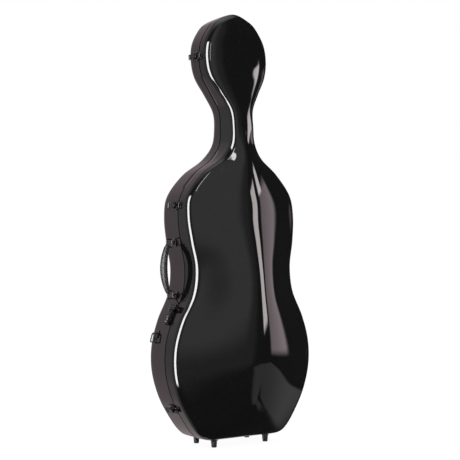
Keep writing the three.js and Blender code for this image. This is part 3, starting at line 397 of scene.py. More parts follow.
def brushedMetal():  # blackened and brushed
    look = {"deep": (0.045, 0.044, 0.043), "light": (0.12, 0.118, 0.114), "lines": 60, "stretch": 60}
    paint = Paint("brushed_metal", Metallic=1.0)
    lines = paint.noise(look["lines"], 3, 0.6, paint.place((1, 1, look["stretch"])))
    paint.set("Base Color", paint.blend(lines, look["deep"], look["light"]))
    paint.set("Roughness", paint.ease(lines, 0.3, 0.7, 0.3, 0.46))
    paint.bump(lines, 0.00002, 0.4)
    return paint


def leather():
    look = {"deep": (0.012, 0.011, 0.011), "light": (0.03, 0.028, 0.028), "grain": 900, "tone": 70}
    paint = Paint("black_leather", Specular_IOR_Level=0.45)
    grain = paint.cells(look["grain"], "DISTANCE_TO_EDGE")
    tone = paint.noise(look["tone"], 3)
    paint.set("Base Color", paint.blend(tone, look["deep"], look["light"]))
    paint.set("Roughness", paint.ease(tone, 0.3, 0.7, 0.38, 0.55))
    paint.bump(paint.ease(grain, 0.0, 0.12), 0.00012, 0.7)
    return paint


def plush(name, shade):  # short pile, lighter where it is brushed
    look = {"sheen": (0.5, 0.5, 0.56), "pile": 1500, "brushed": 16}
    paint = Paint(name, Sheen_Weight=0.35, Sheen_Roughness=0.4, Sheen_Tint=look["sheen"], Specular_IOR_Level=0.1)
    pile = paint.noise(look["pile"], 2, 0.7)
    brushed = paint.ease(paint.noise(look["brushed"], 3), 0.35, 0.68)
    tone = pile * 0.5 + brushed * 0.5
    paint.set("Base Color", paint.blend(tone, *tones(shade, 0.7, 1.45)))
    paint.set("Roughness", paint.ease(brushed, 0, 1, 0.88, 1.0))
    paint.bump(pile, 0.0004, 0.6)
    return paint


def webbing(name, scale, shade):  # woven threads along and across
    paint = Paint(name, Sheen_Weight=0.2, Specular_IOR_Level=0.2)
    where = paint.place()
    across, along = (
        paint.node("ShaderNodeTexWave", {"bands_direction": axis, "wave_profile": "SIN"}, {
            "Vector": where, "Scale": threads})
        for axis, threads in (("X", scale), ("Z", scale * 1.3)))
    weave = across * 0.5 + along * 0.5
    paint.set("Base Color", paint.blend(weave, *tones(shade, 0.6, 1.6)))
    paint.set("Roughness", paint.ease(weave, 0, 1, 0.95, 0.75))
    paint.bump(weave, 0.0003, 0.8)
    return paint


def mouldedPlastic(name, shade):
    look = {"grain": 1300, "cloud": 40}
    paint = Paint(name, Specular_IOR_Level=0.4)
    grain = paint.noise(look["grain"], 2)
    paint.set("Base Color", paint.blend(paint.noise(look["cloud"]), *tones(shade, 0.85, 1.2)))
    paint.set("Roughness", paint.ease(grain, 0.3, 0.7, 0.42, 0.56))
    paint.bump(grain, 0.00004, 0.5)
    return paint


def ink(name, shade):
    paint = Paint(name, Specular_IOR_Level=0.3)
    chip = paint.noise(1800, 2)
    paint.set("Base Color", paint.blend(chip, *tones(shade, 0.8, 1)))
    paint.set("Roughness", paint.ease(chip, 0.3, 0.7, 0.45, 0.65))
    return paint


paints = {
    "shell": glossLacquer(),
    "seal": rubber("seal_rubber", (0.006, 0.005, 0.006), 500, 0.0),
    "foot_rubber": rubber("foot_rubber", (0.014, 0.014, 0.014), 340),
    "black_hardware": blackHardware(),
    "cut_edge": rubber("sealed_cut_edge", (0.005, 0.004, 0.005), 700, 0.0),
    "powder_coat": rubber("powder_coat", (0.012, 0.012, 0.013), 900, 0.2),
    "bright_steel": brightSteel(),
    "dark_nickel": darkNickel(),
    "dial_metal": brushedMetal(),
    "handle_leather": leather(),
    "plush": plush("charcoal_plush", (0.042, 0.042, 0.049)),
    "pad_plush": plush("pad_plush", (0.065, 0.064, 0.071)),
    "webbing": webbing("black_webbing", 260, (0.02, 0.02, 0.022)),
    "clip_plastic": mouldedPlastic("clip_plastic", (0.018, 0.018, 0.019)),
    "valance": mouldedPlastic("valance_fibre", (0.02, 0.02, 0.021)),
    "thread": webbing("waxed_thread", 900, (0.03, 0.029, 0.028)),
    "ink": ink("numeral_ink", (0.34, 0.34, 0.33)),
}
print("finishes mixed:", len(paints))

# Case surface: sizes in metres and the stations that both shells are lofted from
case = {
    "height": 1.335, "footHeight": 0.024, "lowerBout": 0.5, "lidDepth": 0.156, "baseDepth": 0.113, "backCrown": 0.009,
    "wall": 0.0032, "lidEdgeRadius": 0.016, "baseEdgeRadius": 0.026, "draft": 0.03, "halfSeam": 0.0015,
    "seamDepth": 0.017, "rimEase": 0.0008,
}
# Shares of height, half width, centre height, lid edge, lid ridge and base edge, from the bottom to the top centre
stationShares = [
    (0.0, 0.0, 0.096, 0.295, 0.755, 0.93),
    (0.0, 0.28, 0.1, 0.295, 0.76, 0.93),
    (0.0015, 0.512, 0.105, 0.295, 0.775, 0.93),
    (0.015, 0.64, 0.112, 0.3, 0.79, 0.935),
    (0.05, 0.777, 0.127, 0.305, 0.825, 0.95),
    (0.1, 0.916, 0.15, 0.315, 0.885, 0.965),
    (0.16, 0.999, 0.182, 0.33, 0.96, 0.985),
    (0.22, 0.995, 0.224, 0.34, 0.993, 0.99),
    (0.28, 0.902, 0.28, 0.355, 1.0, 0.995),
    (0.34, 0.75, 0.34, 0.38, 0.985, 1.0),
    (0.4, 0.71, 0.4, 0.393, 0.95, 1.0),
    (0.46, 0.761, 0.46, 0.385, 0.888, 0.99),
    (0.52, 0.792, 0.517, 0.352, 0.82, 0.975),
    (0.57, 0.752, 0.566, 0.325, 0.782, 0.945),
    (0.62, 0.547, 0.616, 0.33, 0.71, 0.875),
    (0.655, 0.303, 0.657, 0.4, 0.63, 0.73),
    (0.69, 0.187, 0.691, 0.46, 0.55, 0.565),
    (0.73, 0.167, 0.729, 0.47, 0.512, 0.487),
    (0.77, 0.184, 0.767, 0.42, 0.475, 0.487),
    (0.81, 0.298, 0.804, 0.335, 0.425, 0.52),
    (0.85, 0.42, 0.838, 0.265, 0.385, 0.575),
    (0.89, 0.458, 0.866, 0.245, 0.37, 0.62),
    (0.93, 0.431, 0.891, 0.23, 0.36, 0.672),
    (0.965, 0.328, 0.909, 0.222, 0.347, 0.717),
    (0.985, 0.214, 0.921, 0.218, 0.34, 0.735),
    (1.0, 0.0, 0.931, 0.218, 0.333, 0.752),
]
# How domed the lid's crown is, and how flat its middle, from the bottom to the top centre
domeShares = (0.95, 0.55, 0.45, 0.45, 0.55, 0.9, 1.0)
crownPowers = (2, 2, 2, 2, 2, 3.6, 4)
stepsAround = 8  # columns for each station


# The stations at many parts of the half outline, as columns of real sizes
def stationsAt(parts):
    rows = np.array(stationShares)
    last = len(rows) - 1
    flip = np.array([1, -1, 1, 1, 1, 1])
    rows = np.vstack([rows[1] * flip, rows, rows[-2] * flip])
    place = np.clip(np.asarray(parts, float), 0, 1) * last
    index = np.minimum(place.astype(int), last - 1)
    t = (place - index)[:, None]
    a, b, c, d = (rows[index + step] for step in range(4))
    value = b + 0.5 * t * (c - a + t * (2 * a - 5 * b + 4 * c - d + t * (3 * (b - c) + d - a)))
    tall = case["height"] - case["footHeight"]
    dome, power = (np.interp(parts, np.linspace(0, 1, len(row)), row) for row in (domeShares, crownPowers))
    return {
        "height": case["footHeight"] + value[:, 0] * tall, "halfWidth": value[:, 1] * case["lowerBout"] / 2,
        "centre": case["footHeight"] + value[:, 2] * tall, "lidEdge": value[:, 3] * case["lidDepth"],
        "lidRidge": value[:, 4] * case["lidDepth"], "baseEdge": value[:, 5] * case["baseDepth"], "dome": dome,
        "power": power,
    }


# Rows of points round half the outline, at each place of a skin that lies a given offset inside the outer surface
def skinGrid(side, places, offset, rim):
    s = stationsAt(halfParts)
    lid = side == "lid"
    full = s["lidEdge"] if lid else s["baseEdge"]
    top = s["lidRidge"] if lid else s["baseEdge"] + case["backCrown"]
    dome = s["dome"] if lid else np.ones(len(halfParts))
    power = s["power"] if lid else 2
    rise = s["centre"] - s["height"]
    reach = np.hypot(s["halfWidth"], rise)
    edge = full - offset
    radius = case["lidEdgeRadius"] if lid else case["baseEdgeRadius"]
    radius = np.minimum(max(radius - offset, case["wall"]), edge / 2)
    wallTop = edge - radius
    wallInset = offset + case["draft"] * wallTop
    climb = top - offset - edge
    grid = []
    for place in places:
        if place <= 1:
            depth = rim + (wallTop - rim) * place
            inset = offset + case["draft"] * depth
        else:
            turn = min(place - 1, 1) * math.pi / 2
            inset = wallInset + radius * (1 - math.cos(turn))
            if place > 2:
                inset = inset + (reach - inset) * (place - 2)
            u = (inset - wallInset) / (reach - wallInset)
            crown = dome * (1 - np.maximum(1 - u, 0) ** power) + (1 - dome) * (3 * u * u - 2 * u ** 3)
            depth = wallTop + radius * math.sin(turn) + climb * crown
        grid.append(outlineRow(inset, -depth if lid else depth))
    return grid


# One row of points round half the outline, an inset in from the wall and a depth from the parting plane
def outlineRow(inset, depth):
    s = stationsAt(halfParts)
    rise = s["centre"] - s["height"]
    share = inset / np.hypot(s["halfWidth"], rise)
    across = s["halfWidth"] * (1 - share)
    return np.column_stack([across, np.zeros(len(across)) + depth + case["seamDepth"], s["height"] + rise * share])


weldGap = 0.00001  # metres


# Rows of points swept round the outline, mirrored and welded; the second finish goes on the rows that are cut edges
def gridMesh(name, grid, body, isRing=False, cutRows=()):
    mesh = bmesh.new()
    rows = len(grid)
    columns = len(grid[0])
    for hand in (1, -1):
        verts = [[mesh.verts.new((hand * x, y, z)) for x, y, z in row] for row in grid]
        for i in range(rows if isRing else rows - 1):
            for j in range(columns - 1):
                corners = [verts[i][j], verts[(i + 1) % rows][j], verts[(i + 1) % rows][j + 1], verts[i][j + 1]]
                face = mesh.faces.new(corners if hand > 0 else corners[::-1])
                face.material_index = int(i in cutRows)
    bmesh.ops.remove_doubles(mesh, verts=mesh.verts, dist=weldGap)
    bmesh.ops.dissolve_degenerate(mesh, edges=mesh.edges, dist=weldGap)
    bmesh.ops.recalc_face_normals(mesh, faces=mesh.faces)
    return finishMesh(name, mesh, body)


def finishMesh(name, mesh, body, smoothAngle=40):
    data = bpy.data.meshes.new(name)
    mesh.to_mesh(data)
    mesh.free()
    piece = bpy.data.objects.new(name, data)
    bpy.context.scene.collection.objects.link(piece)
    data.shade_smooth()
    data.set_sharp_from_angle(angle=math.radians(smoothAngle))
    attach(piece, body)
    return piece


# Gives a piece its finish, and hides the solids that it stands for
def dress(piece, finish, *nodes, slot=None):
    if len(piece.data.materials):
        piece.data.materials[0] = paints[finish].material
    else:
        piece.data.materials.append(paints[finish].material)
    if nodes:
        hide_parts(*nodes)
    return piece


def bodyOf(node):
    return body_of(frame["nodes"][node])[0]


halfParts = np.linspace(0, 1, (len(stationShares) - 1) * stepsAround + 1)
wallSteps = np.linspace(0, 1, 5)
edgeSteps = np.linspace(1, 2, 11)[1:]
crownSteps = np.linspace(2, 3, 25)[1:]
outerPlaces = np.concatenate([wallSteps, edgeSteps, crownSteps])
innerPlaces = np.concatenate([np.linspace(0, 1, 3), np.linspace(1, 2, 5)[1:], np.linspace(2, 3, 9)[1:]])


# Moulded shell: its outer skin, an eased rim and its inner skin
def makeShell(side):
    rim, ease, wall = case["halfSeam"], case["rimEase"], case["wall"]
    outside = skinGrid(side, outerPlaces[::-1], 0, rim + ease)
    lip = skinGrid(side, [0], ease, rim) + skinGrid(side, [0], wall - ease, rim)
    inside = skinGrid(side, innerPlaces, wall, rim + ease)
    cut = len(outside) - 1
    piece = gridMesh(side + "_shell_skin", outside + lip + inside, side, cutRows=(cut, cut + 1, cut + 2))
    dress(piece, "shell", side + "_shell")
    piece.data.materials.append(paints["cut_edge"].material)


makeShell("base")
makeShell("lid")
print("shells lofted")

# Seam: a rubber bulb between the shells, and the fibre valance behind it
seam = {"sealInset": 1.6, "sealHalfWidth": 1.0, "sealHalfHeight": 1.2, "valanceInset": 4.55, "valanceHalf": 0.75,
        "valanceLow": -8, "valanceHigh": 10}


def makeSeam():
    bulb = []
    for turn in np.linspace(0, 2 * math.pi, 13)[:-1]:
        inset = seam["sealInset"] - seam["sealHalfWidth"] * math.cos(turn)
        bulb.append(outlineRow(inset * mm, seam["sealHalfHeight"] * math.sin(turn) * mm))
    dress(gridMesh("rim_seal_bulb", bulb, "base", True), "seal", "rim_seal")
    strip = []
    half = seam["valanceHalf"]
    for end, first, sign in ((seam["valanceHigh"], 0, 1), (seam["valanceLow"], math.pi, -1)):
        for turn in np.linspace(0, math.pi, 6) + first:
            middle = end - sign * half
            strip.append(outlineRow((seam["valanceInset"] - half * math.cos(turn)) * mm,
                                    (middle + half * math.sin(turn)) * mm))
    dress(gridMesh("rim_valance_strip", strip, "base", True), "valance", "rim_valance")


makeSeam()

# Plush linings: foam under short pile, its rim turned over in a roll
lining = {"thickness": 8, "baseOffset": 5.6, "lidOffset": 3.5, "lidRim": 12, "rollSteps": 7, "fill": 0.9}


def makeLining(side, offset, rim):
    half = lining["thickness"] / 2
    outside = skinGrid(side, innerPlaces[::-1], offset * mm, (rim + half) * mm)
    roll = []
    for turn in np.linspace(0, math.pi, lining["rollSteps"] + 2)[1:-1]:
        inset = offset + half - half * math.cos(turn)
        roll += skinGrid(side, [0], inset * mm, (rim + half - half * math.sin(turn)) * mm)
    inside = skinGrid(side, outerPlaces[::2], (offset + lining["thickness"]) * mm, (rim + half) * mm)
    piece = gridMesh(side + "_lining_plush", outside + roll + inside, side)
    dress(piece, "plush", side + "_lining")


makeLining("base", lining["baseOffset"], case["halfSeam"] / mm)
makeLining("lid", lining["lidOffset"], lining["lidRim"])
print("seam and linings made")


# Meshes taken from the solids
def nodeMesh(node, weld=0.002):
    mesh = bmesh.new()
    mesh.from_mesh(frame["nodes"][node].data)
    bmesh.ops.remove_doubles(mesh, verts=mesh.verts, dist=weld * mm)
    return mesh


# A stamped or cast fitting: the solid with its hard edges eased; sizes in millimetres, angles in degrees
fitting = {"weld": 0.12, "flatAngle": 1, "hardAngle": 50, "smoothAngle": 32, "profile": 0.6}


def easedFitting(node, finish, ease=0.3, slot=None):
    mesh = nodeMesh(node, fitting["weld"])
    flat, sharp = math.radians(fitting["flatAngle"]), math.radians(fitting["hardAngle"])
    bmesh.ops.dissolve_limit(mesh, angle_limit=flat, verts=mesh.verts, edges=mesh.edges)
    hard = [edge for edge in mesh.edges if len(edge.link_faces) == 2 and edge.calc_face_angle(0) > sharp]
    bmesh.ops.bevel(mesh, geom=hard, offset=ease * mm, offset_type="OFFSET", segments=2,
                    profile=fitting["profile"], affect="EDGES", clamp_overlap=True)
    return dress(finishMesh(node + "_eased", mesh, bodyOf(node), fitting["smoothAngle"]), finish, node, slot=slot)


# A bent wire: the solid's facets turned into a round section, swelled by the share that rounding takes off
bentWire = {"joinAngle": 3.2, "swell": 0.17}


def roundWire(node, finish, wire):
    mesh = nodeMesh(node)
    bmesh.ops.join_triangles(mesh, faces=mesh.faces, angle_face_threshold=bentWire["joinAngle"],
                             angle_shape_threshold=bentWire["joinAngle"])
    mesh.normal_update()
    for vert in mesh.verts:
        vert.co += vert.normal * wire * bentWire["swell"] * mm
    piece = finishMesh(node + "_wire", mesh, bodyOf(node), 180)
    piece.modifiers.new("round", "SUBSURF").levels = 2
    settle(piece)
    return dress(piece, finish, node, slot="bright_steel")


# Makes a piece's modifiers real
def settle(piece):
    graph = bpy.context.evaluated_depsgraph_get()
    data = bpy.data.meshes.new_from_object(piece.evaluated_get(graph))
    piece.modifiers.clear()
    piece.data = data


# Faces between rings that have the same number of points
def joinRings(mesh, rings):
    for low, high in zip(rings, rings[1:]):
        count = len(low)
        for k in range(count):
            mesh.faces.new([low[k], low[(k + 1) % count], high[(k + 1) % count], high[k]])


def closedTube(mesh, rings):
    joinRings(mesh, rings)
    mesh.faces.new(rings[0])
    mesh.faces.new(rings[-1][::-1])


# Turned shape about the z of a frame, from pairs of radius and height in millimetres
def turned(mesh, profile, place, steps):
    joinRings(mesh, [[mesh.verts.new(place @ Vector((r * mm * math.cos(a), r * mm * math.sin(a), h * mm)))
                      for a in np.linspace(0, 2 * math.pi, steps + 1)[:-1]] for r, h in profile])


turnedWeld = 0.000001  # metres


def weldTurned(mesh):
    bmesh.ops.remove_doubles(mesh, verts=mesh.verts, dist=turnedWeld)
    bmesh.ops.dissolve_degenerate(mesh, edges=mesh.edges, dist=turnedWeld)
    bmesh.ops.recalc_face_normals(mesh, faces=mesh.faces)


def turnedPiece(name, profile, place, body, steps):
    mesh = bmesh.new()
    turned(mesh, profile, place, steps)
    weldTurned(mesh)
    return finishMesh(name, mesh, body)


# Frame of a fitting: x as near to a direction as it can be, z along the fitting, y across both
def fittingFrame(place, along, outwards):
    z = Vector(along).normalized()
    x = Vector(outwards)
    x = (x - z * x.dot(z)).normalized()
    return frameOf(Vector(place), x, z.cross(x), z)


def middleOf(node):
    low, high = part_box(node)
    return (Vector(low) + Vector(high)) / 2


joints = {joint["name"]: joint for joint in frame["joints"]}
leftwards, rightwards, backwards = (-1, 0, 0), (1, 0, 0), (0, 1, 0)


def jointFrame(name, outwards, flip=1):
    joint = joints[name]
    return fittingFrame(joint["pos_m"], Vector(joint["axis"]) * flip, outwards)


# Domed rivet heads on a fitting, at places across and along it; looked for from outside, in millimetres
rivet = {"radius": 1.5, "rise": 0.8, "sunk": 0.2, "lookFrom": 60, "steps": 16, "domeTurns": (0.35, 0.7, 1.05, 1.35)}


def addRivets(node, place, spots, radius=rivet["radius"]):
    tree = BVHTree.FromBMesh(nodeMesh(node))
    out = place.to_3x3() @ Vector((1, 0, 0))
    mesh = bmesh.new()
    dome = [(radius * math.sin(a), rivet["rise"] * math.cos(a)) for a in rivet["domeTurns"]]
    profile = [(0, rivet["rise"])] + dome + [(radius, 0), (radius, -rivet["sunk"]), (0, -rivet["sunk"])]
    for across, along in spots:
        start = place @ Vector((rivet["lookFrom"] * mm, across * mm, along * mm))
        hit, normal, _, _ = tree.ray_cast(start, -out)
        if hit is None:
            print("no seat for a rivet of", node, across, along)
            continue
        seat = fittingFrame(hit, normal, place.to_3x3() @ Vector((0, 0, 1)))
        turned(mesh, profile, seat, rivet["steps"])
    weldTurned(mesh)
    return dress(finishMesh(node + "_rivets", mesh, bodyOf(node)), "black_hardware")


# Feet: moulded rubber with a recess for the screw
foot = {"flange": 12, "flangeThickness": 3, "top": 9.5, "tip": 8, "recess": 2.8, "recessDepth": 3}


def makeFoot(node):
    low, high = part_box(node)
    top = (high[2] - low[2]) / mm
    neck = top - foot["flangeThickness"]
    tip, shoulder, flange = foot["tip"], foot["top"], foot["flange"]
    profile = [(0, foot["recessDepth"]), (foot["recess"], foot["recessDepth"]), (foot["recess"], 0.6),
               (foot["recess"] + 0.6, 0), (tip - 1.5, 0), (tip - 0.6, 0.3), (tip - 0.05, 1.1), (tip + 0.05, 2.2),
               (shoulder - 0.1, neck - 1), (shoulder + 0.3, neck - 0.3), (shoulder + 1, neck), (flange - 0.6, neck),
               (flange - 0.1, neck + 0.5), (flange, neck + 1), (flange, top - 0.8), (flange - 0.5, top), (0, top)]
    centre = middleOf(node)
    place = Matrix.Translation((centre.x, centre.y, low[2]))
    dress(turnedPiece(node + "_moulded", profile, place, bodyOf(node), 48), "foot_rubber", node)


for side in ("lid", "base"):
    for hand in ("left", "right"):
        makeFoot(f"{side}_foot_{hand}")
print("feet made")

# Hinges
hinge = {"pinRadius": 1.8, "length": 36, "rivetAcross": 18, "rivetAlong": 11, "rivetStagger": 4}


def rodProfile(radius, length):
    half = length / 2
    dome = [(radius * math.cos(a), half - 0.5 * radius + 0.5 * radius * math.sin(a)) for a in (0, 0.4, 0.8, 1.2)]
    end = [(0, half)] + dome[::-1]
    return end + [(r, -h) for r, h in end[::-1]]


for word in ("upper", "lower"):
    place = fittingFrame(middleOf("hinge_pin_" + word), joints["lid_hinge"]["axis"], rightwards)
    for leaf, towards in (("base", 1), ("lid", -1)):
        node = f"hinge_leaf_{leaf}_{word}"
        easedFitting(node, "black_hardware")
        across, along = towards * hinge["rivetAcross"], hinge["rivetAlong"]
        middle = across + towards * hinge["rivetStagger"]
        addRivets(node, place, [(across, -along), (across, along), (middle, 0)])
    pin = turnedPiece(f"hinge_pin_{word}_turned", rodProfile(hinge["pinRadius"], hinge["length"]), place, "base", 24)
    dress(pin, "bright_steel", "hinge_pin_" + word)
print("hinges made")

# Draw latches; rivets are measured from the lever's pivot: across towards the lid, then along the wall
latch = {"wire": 1.1, "plateRivets": [(3, -12.6), (3, 12.6), (-22.5, -11.5), (-22.5, 11.5)],
         "keeperRivets": [(26.4, -5.6), (26.4, 5.6)]}

for word in ("head", "upper", "lower"):
    place = jointFrame(f"latch_{word}_lever_pivot", leftwards)
    for kind in ("plate", "lever", "keeper"):
        easedFitting(f"latch_{word}_{kind}", "black_hardware")
    roundWire(f"latch_{word}_loop", "dark_nickel", latch["wire"])
    addRivets(f"latch_{word}_plate", place, latch["plateRivets"])
    addRivets(f"latch_{word}_keeper", place, latch["keeperRivets"])
print("latches made")

# Combination lock; dials are grooved wheels with plain numerals
lock = {"dialRadius": 5.5, "dialWidth": 4.6, "bore": 1.6, "groove": 0.45, "grooveShare": 0.13, "chamfer": 0.5,
        "numeral": 3.0, "numeralRise": 0.04, "axleRadius": 1.2, "axleLength": 24,
        "dialSteps": 120, "digits": 10, "keeperRivets": [(37.4, -6), (37.4, 6)]}


def makeDial(number):
    node = f"lock_dial_{number}"
    place = jointFrame(node + "_spin", leftwards)
    half, chamfer = lock["dialWidth"] / 2, lock["chamfer"]
    sections = [(-half, chamfer), (-half + chamfer, 0), (half - chamfer, 0), (half, chamfer)]
    steps = lock["dialSteps"]
    mesh = bmesh.new()
    rings = []
    for height, inset in [(-half, None)] + sections + [(half, None)]:
        ring = []
        for k in range(steps):
            turn = 2 * math.pi * k / steps
            away = abs((k / steps * lock["digits"] + 0.5) % 1 - 0.5) * 2
            dip = max(0, 1 - (1 - away) / lock["grooveShare"]) * lock["groove"]
            radius = lock["bore"] if inset is None else lock["dialRadius"] - inset - dip
            point = Vector((radius * math.cos(turn), radius * math.sin(turn), height)) * mm
            ring.append(mesh.verts.new(place @ point))
        rings.append(ring)
    joinRings(mesh, rings + rings[:1])
    bmesh.ops.recalc_face_normals(mesh, faces=mesh.faces)
    dress(finishMesh(node + "_wheel", mesh, bodyOf(node), 30), "dial_metal", node)
    addNumerals(node, place)


# The ten numerals round a dial, bent to its rim and read with the case lying on its back
def addNumerals(node, place):
    mesh = bmesh.new()
    for digit in range(lock["digits"]):
        curve = bpy.data.curves.new("numeral", "FONT")
        curve.body = str(digit)
        curve.size = lock["numeral"]
        curve.extrude = lock["numeralRise"]
        curve.align_x = "CENTER"
        curve.align_y = "CENTER"
        flat = bpy.data.objects.new("numeral", curve)
        bpy.context.scene.collection.objects.link(flat)
        bpy.context.view_layer.update()
        data = bpy.data.meshes.new_from_object(flat.evaluated_get(bpy.context.evaluated_depsgraph_get()))
        before = len(mesh.verts)
        mesh.from_mesh(data)
        mesh.verts.ensure_lookup_table()
        for vert in mesh.verts[before:]:
            x, y, z = vert.co
            turn = math.radians(360 / lock["digits"] * digit) + y / lock["dialRadius"]
            radius = lock["dialRadius"] + z
            vert.co = place @ (Vector((radius * math.cos(turn), radius * math.sin(turn), -x)) * mm)
        bpy.data.objects.remove(flat)
        bpy.data.curves.remove(curve)
        bpy.data.meshes.remove(data)
    bmesh.ops.recalc_face_normals(mesh, faces=mesh.faces)
    dress(finishMesh(node + "_numerals", mesh, bodyOf(node)), "ink", slot="dial_metal")


def makeLock():
    easedFitting("lock_body", "black_hardware", 0.5)
    for kind in ("hasp", "keeper"):
        easedFitting("lock_" + kind, "black_hardware")
    easedFitting("lock_button", "dark_nickel", 0.4, "bright_steel")
    for number in (1, 2, 3):
        makeDial(number)
    along = joints["lock_dial_1_spin"]["axis"]
    place = fittingFrame(middleOf("lock_axle"), along, leftwards)
    axle = turnedPiece("lock_axle_turned", rodProfile(lock["axleRadius"], lock["axleLength"]), place, "base", 20)
    dress(axle, "bright_steel", "lock_axle")
    addRivets("lock_keeper", jointFrame("lock_hasp_pivot", leftwards, -1), lock["keeperRivets"])


makeLock()
print("lock made")

# Handle: crescent of leather over padding, with a rib sewn along its outer side
handle = {
    "endOut": 15, "reach": 42, "thick": 11, "wide": 13, "endRadius": 5.5, "bulgePower": 0.8, "swellPower": 0.7,
    "nose": 0.06, "nosePower": 2.4, "ribRise": 1.4, "ribWidth": 1.6, "rows": 81, "sides": 48,
    "stitchPitch": 4.6, "stitchLength": 3.2, "stitchRadius": 0.42, "stitchAcross": 2.6, "stitchSunk": 0.03,
    "stitchProud": 0.15, "ringWire": 2, "rivetRadius": 1.6, "rivets": [(-7.6, -9), (7.6, -9), (-7.6, 9), (7.6, 9)],
}


# Closed tube along a flat path; each section is pairs of across and inwards
def sweptMesh(name, path, planeNormal, sections, body, smoothAngle=40):
    mesh = bmesh.new()
    rings = []
    for i, point in enumerate(path):
        tangent = (path[min(i + 1, len(path) - 1)] - path[max(i - 1, 0)]).normalized()
        inward = tangent.cross(planeNormal)
        rings.append([mesh.verts.new(point + planeNormal * across + inward * within)
                      for across, within in sections[i]])
    closedTube(mesh, rings)
    bmesh.ops.recalc_face_normals(mesh, faces=mesh.faces)
    return finishMesh(name, mesh, body, smoothAngle)


# Short lengths of thread that dip in at both ends
def addStitches(name, stitches, radius, body):
    mesh = bmesh.new()
    for middle, along, out in stitches:
        across = along.normalized().cross(out)
        rings = []
        for share in np.linspace(-1, 1, 7):
            lift = (1 - share * share) * radius * 0.9
            size = radius * (1 - 0.55 * share * share)
            centre = middle + along * share / 2 + out * lift
            rings.append([mesh.verts.new(centre + across * size * math.cos(a) + out * size * math.sin(a))
                          for a in np.linspace(0, 2 * math.pi, 9)[:-1]])
        closedTube(mesh, rings)
    bmesh.ops.recalc_face_normals(mesh, faces=mesh.faces)
    return dress(finishMesh(name, mesh, body), "thread", slot="handle_leather")


def makeGrip(centre, out, up):
    low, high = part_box("handle_grip")
    half = (high[2] - low[2]) / 2 / mm
    side = up.cross(out)
    shares = np.sin(np.linspace(-math.pi / 2, math.pi / 2, handle["rows"]))
    path, sections, sewn = [], [], []
    for share in shares:
        bulge = max(math.cos(share * math.pi / 2), 0) ** handle["bulgePower"]
        reach = handle["endOut"] + (handle["reach"] - handle["thick"] - handle["endOut"]) * bulge
        swell = max(math.sin((share + 1) / 2 * math.pi), 0) ** handle["swellPower"]
        over = max(abs(share) - (1 - handle["nose"]), 0) / handle["nose"]
        nose = max(1 - over ** handle["nosePower"], 0.03) ** 0.5
        across = (handle["endRadius"] + (handle["wide"] - handle["endRadius"]) * swell) * nose
        within = (handle["endRadius"] + (handle["thick"] - handle["endRadius"]) * swell) * nose
        path.append(centre + (out * reach + up * share * half) * mm)
        section = []
        for turn in np.linspace(0, 2 * math.pi, handle["sides"] + 1)[:-1]:
            rib = math.exp(-((turn - 1.5 * math.pi) * within / handle["ribWidth"]) ** 2) * handle["ribRise"] * nose
            section.append((math.cos(turn) * across * mm, (math.sin(turn) * within - rib * 0.5) * mm))
        sections.append(section)
        sewn.append(within)
    dress(sweptMesh("handle_grip_leather", path, side, sections, "handle"), "handle_leather", "handle_grip")
    sewGrip(path, shares, sewn, side)


# Two rows of stitches, one on each side of the rib, an even pitch apart along the path
def sewGrip(path, shares, sewn, side):
    length = 0
    stitches = []
    due = handle["stitchPitch"] * 2
    for i in range(1, len(path) - 1):
        length += (path[i] - path[i - 1]).length / mm
        if length < due or abs(shares[i]) > 1 - handle["nose"] * 1.6:
            continue
        due += handle["stitchPitch"]
        along = (path[i + 1] - path[i - 1]).normalized()
        inward = along.cross(side)
        depth = sewn[i] * (1 - handle["stitchSunk"]) + handle["stitchProud"]
        for hand in (-1, 1):
            offset = side * hand * handle["stitchAcross"] - inward * depth
            stitches.append((path[i] + offset * mm, along * handle["stitchLength"] * mm, -inward))
    addStitches("handle_stitches", stitches, handle["stitchRadius"] * mm, "handle")


def makeHandle():
    place = jointFrame("handle_swing", leftwards)
    out, up = place.to_3x3() @ Vector((1, 0, 0)), place.to_3x3() @ Vector((0, 0, 1))
    makeGrip(place.translation, out, up)
    for word in ("lower", "upper"):
        roundWire("handle_ring_" + word, "dark_nickel", handle["ringWire"])
        bracket = "handle_bracket_" + word
        easedFitting(bracket, "black_hardware")
        addRivets(bracket, fittingFrame(middleOf(bracket), up, out), handle["rivets"], handle["rivetRadius"])


makeHandle()
print("handle made")

# Strap rings
strap = {"ringWire": 2.1, "rivetAcross": 11, "rivetAlong": 8.4, "rivetRadius": 1.6}


def makeStrapRing(word, outwards):
    roundWire("strap_ring_" + word, "powder_coat", strap["ringWire"])
    node = "strap_bracket_" + word
    easedFitting(node, "black_hardware")
    joint = joints[f"strap_ring_{word}_swing"]
    axis = Vector(joint["axis"])
    place = fittingFrame(joint["pos_m"], axis.cross(Vector(outwards)), outwards)
    across, along = strap["rivetAcross"], strap["rivetAlong"]
    addRivets(node, place, [(x, z) for x in (-across, across) for z in (-along, along)], strap["rivetRadius"])


makeStrapRing("lower_left", leftwards)
makeStrapRing("lower_right", rightwards)
makeStrapRing("upper", backwards)
print("strap rings made")

# A soft piece from its solid: an even mesh, smoothed, then shrunk where it is to be puffed
def softPiece(name, node, solid, soft):
    piece = finishMesh(name, solid, bodyOf(node), 180)
    remesh = piece.modifiers.new("remesh", "REMESH")
    remesh.mode = "VOXEL"
    remesh.voxel_size = soft["voxel"] * mm
    settle(piece)
    mesh = bmesh.new()
    mesh.from_mesh(piece.data)
    for _ in range(soft["smoothing"]):
        bmesh.ops.smooth_vert(mesh, verts=mesh.verts, factor=0.5, use_axis_x=True, use_axis_y=True, use_axis_z=True)
    if soft.get("shrink"):
        mesh.normal_update()
        for vert in mesh.verts:
            vert.co -= vert.normal * soft["shrink"] * mm
    mesh.to_mesh(piece.data)
    mesh.free()
    return piece


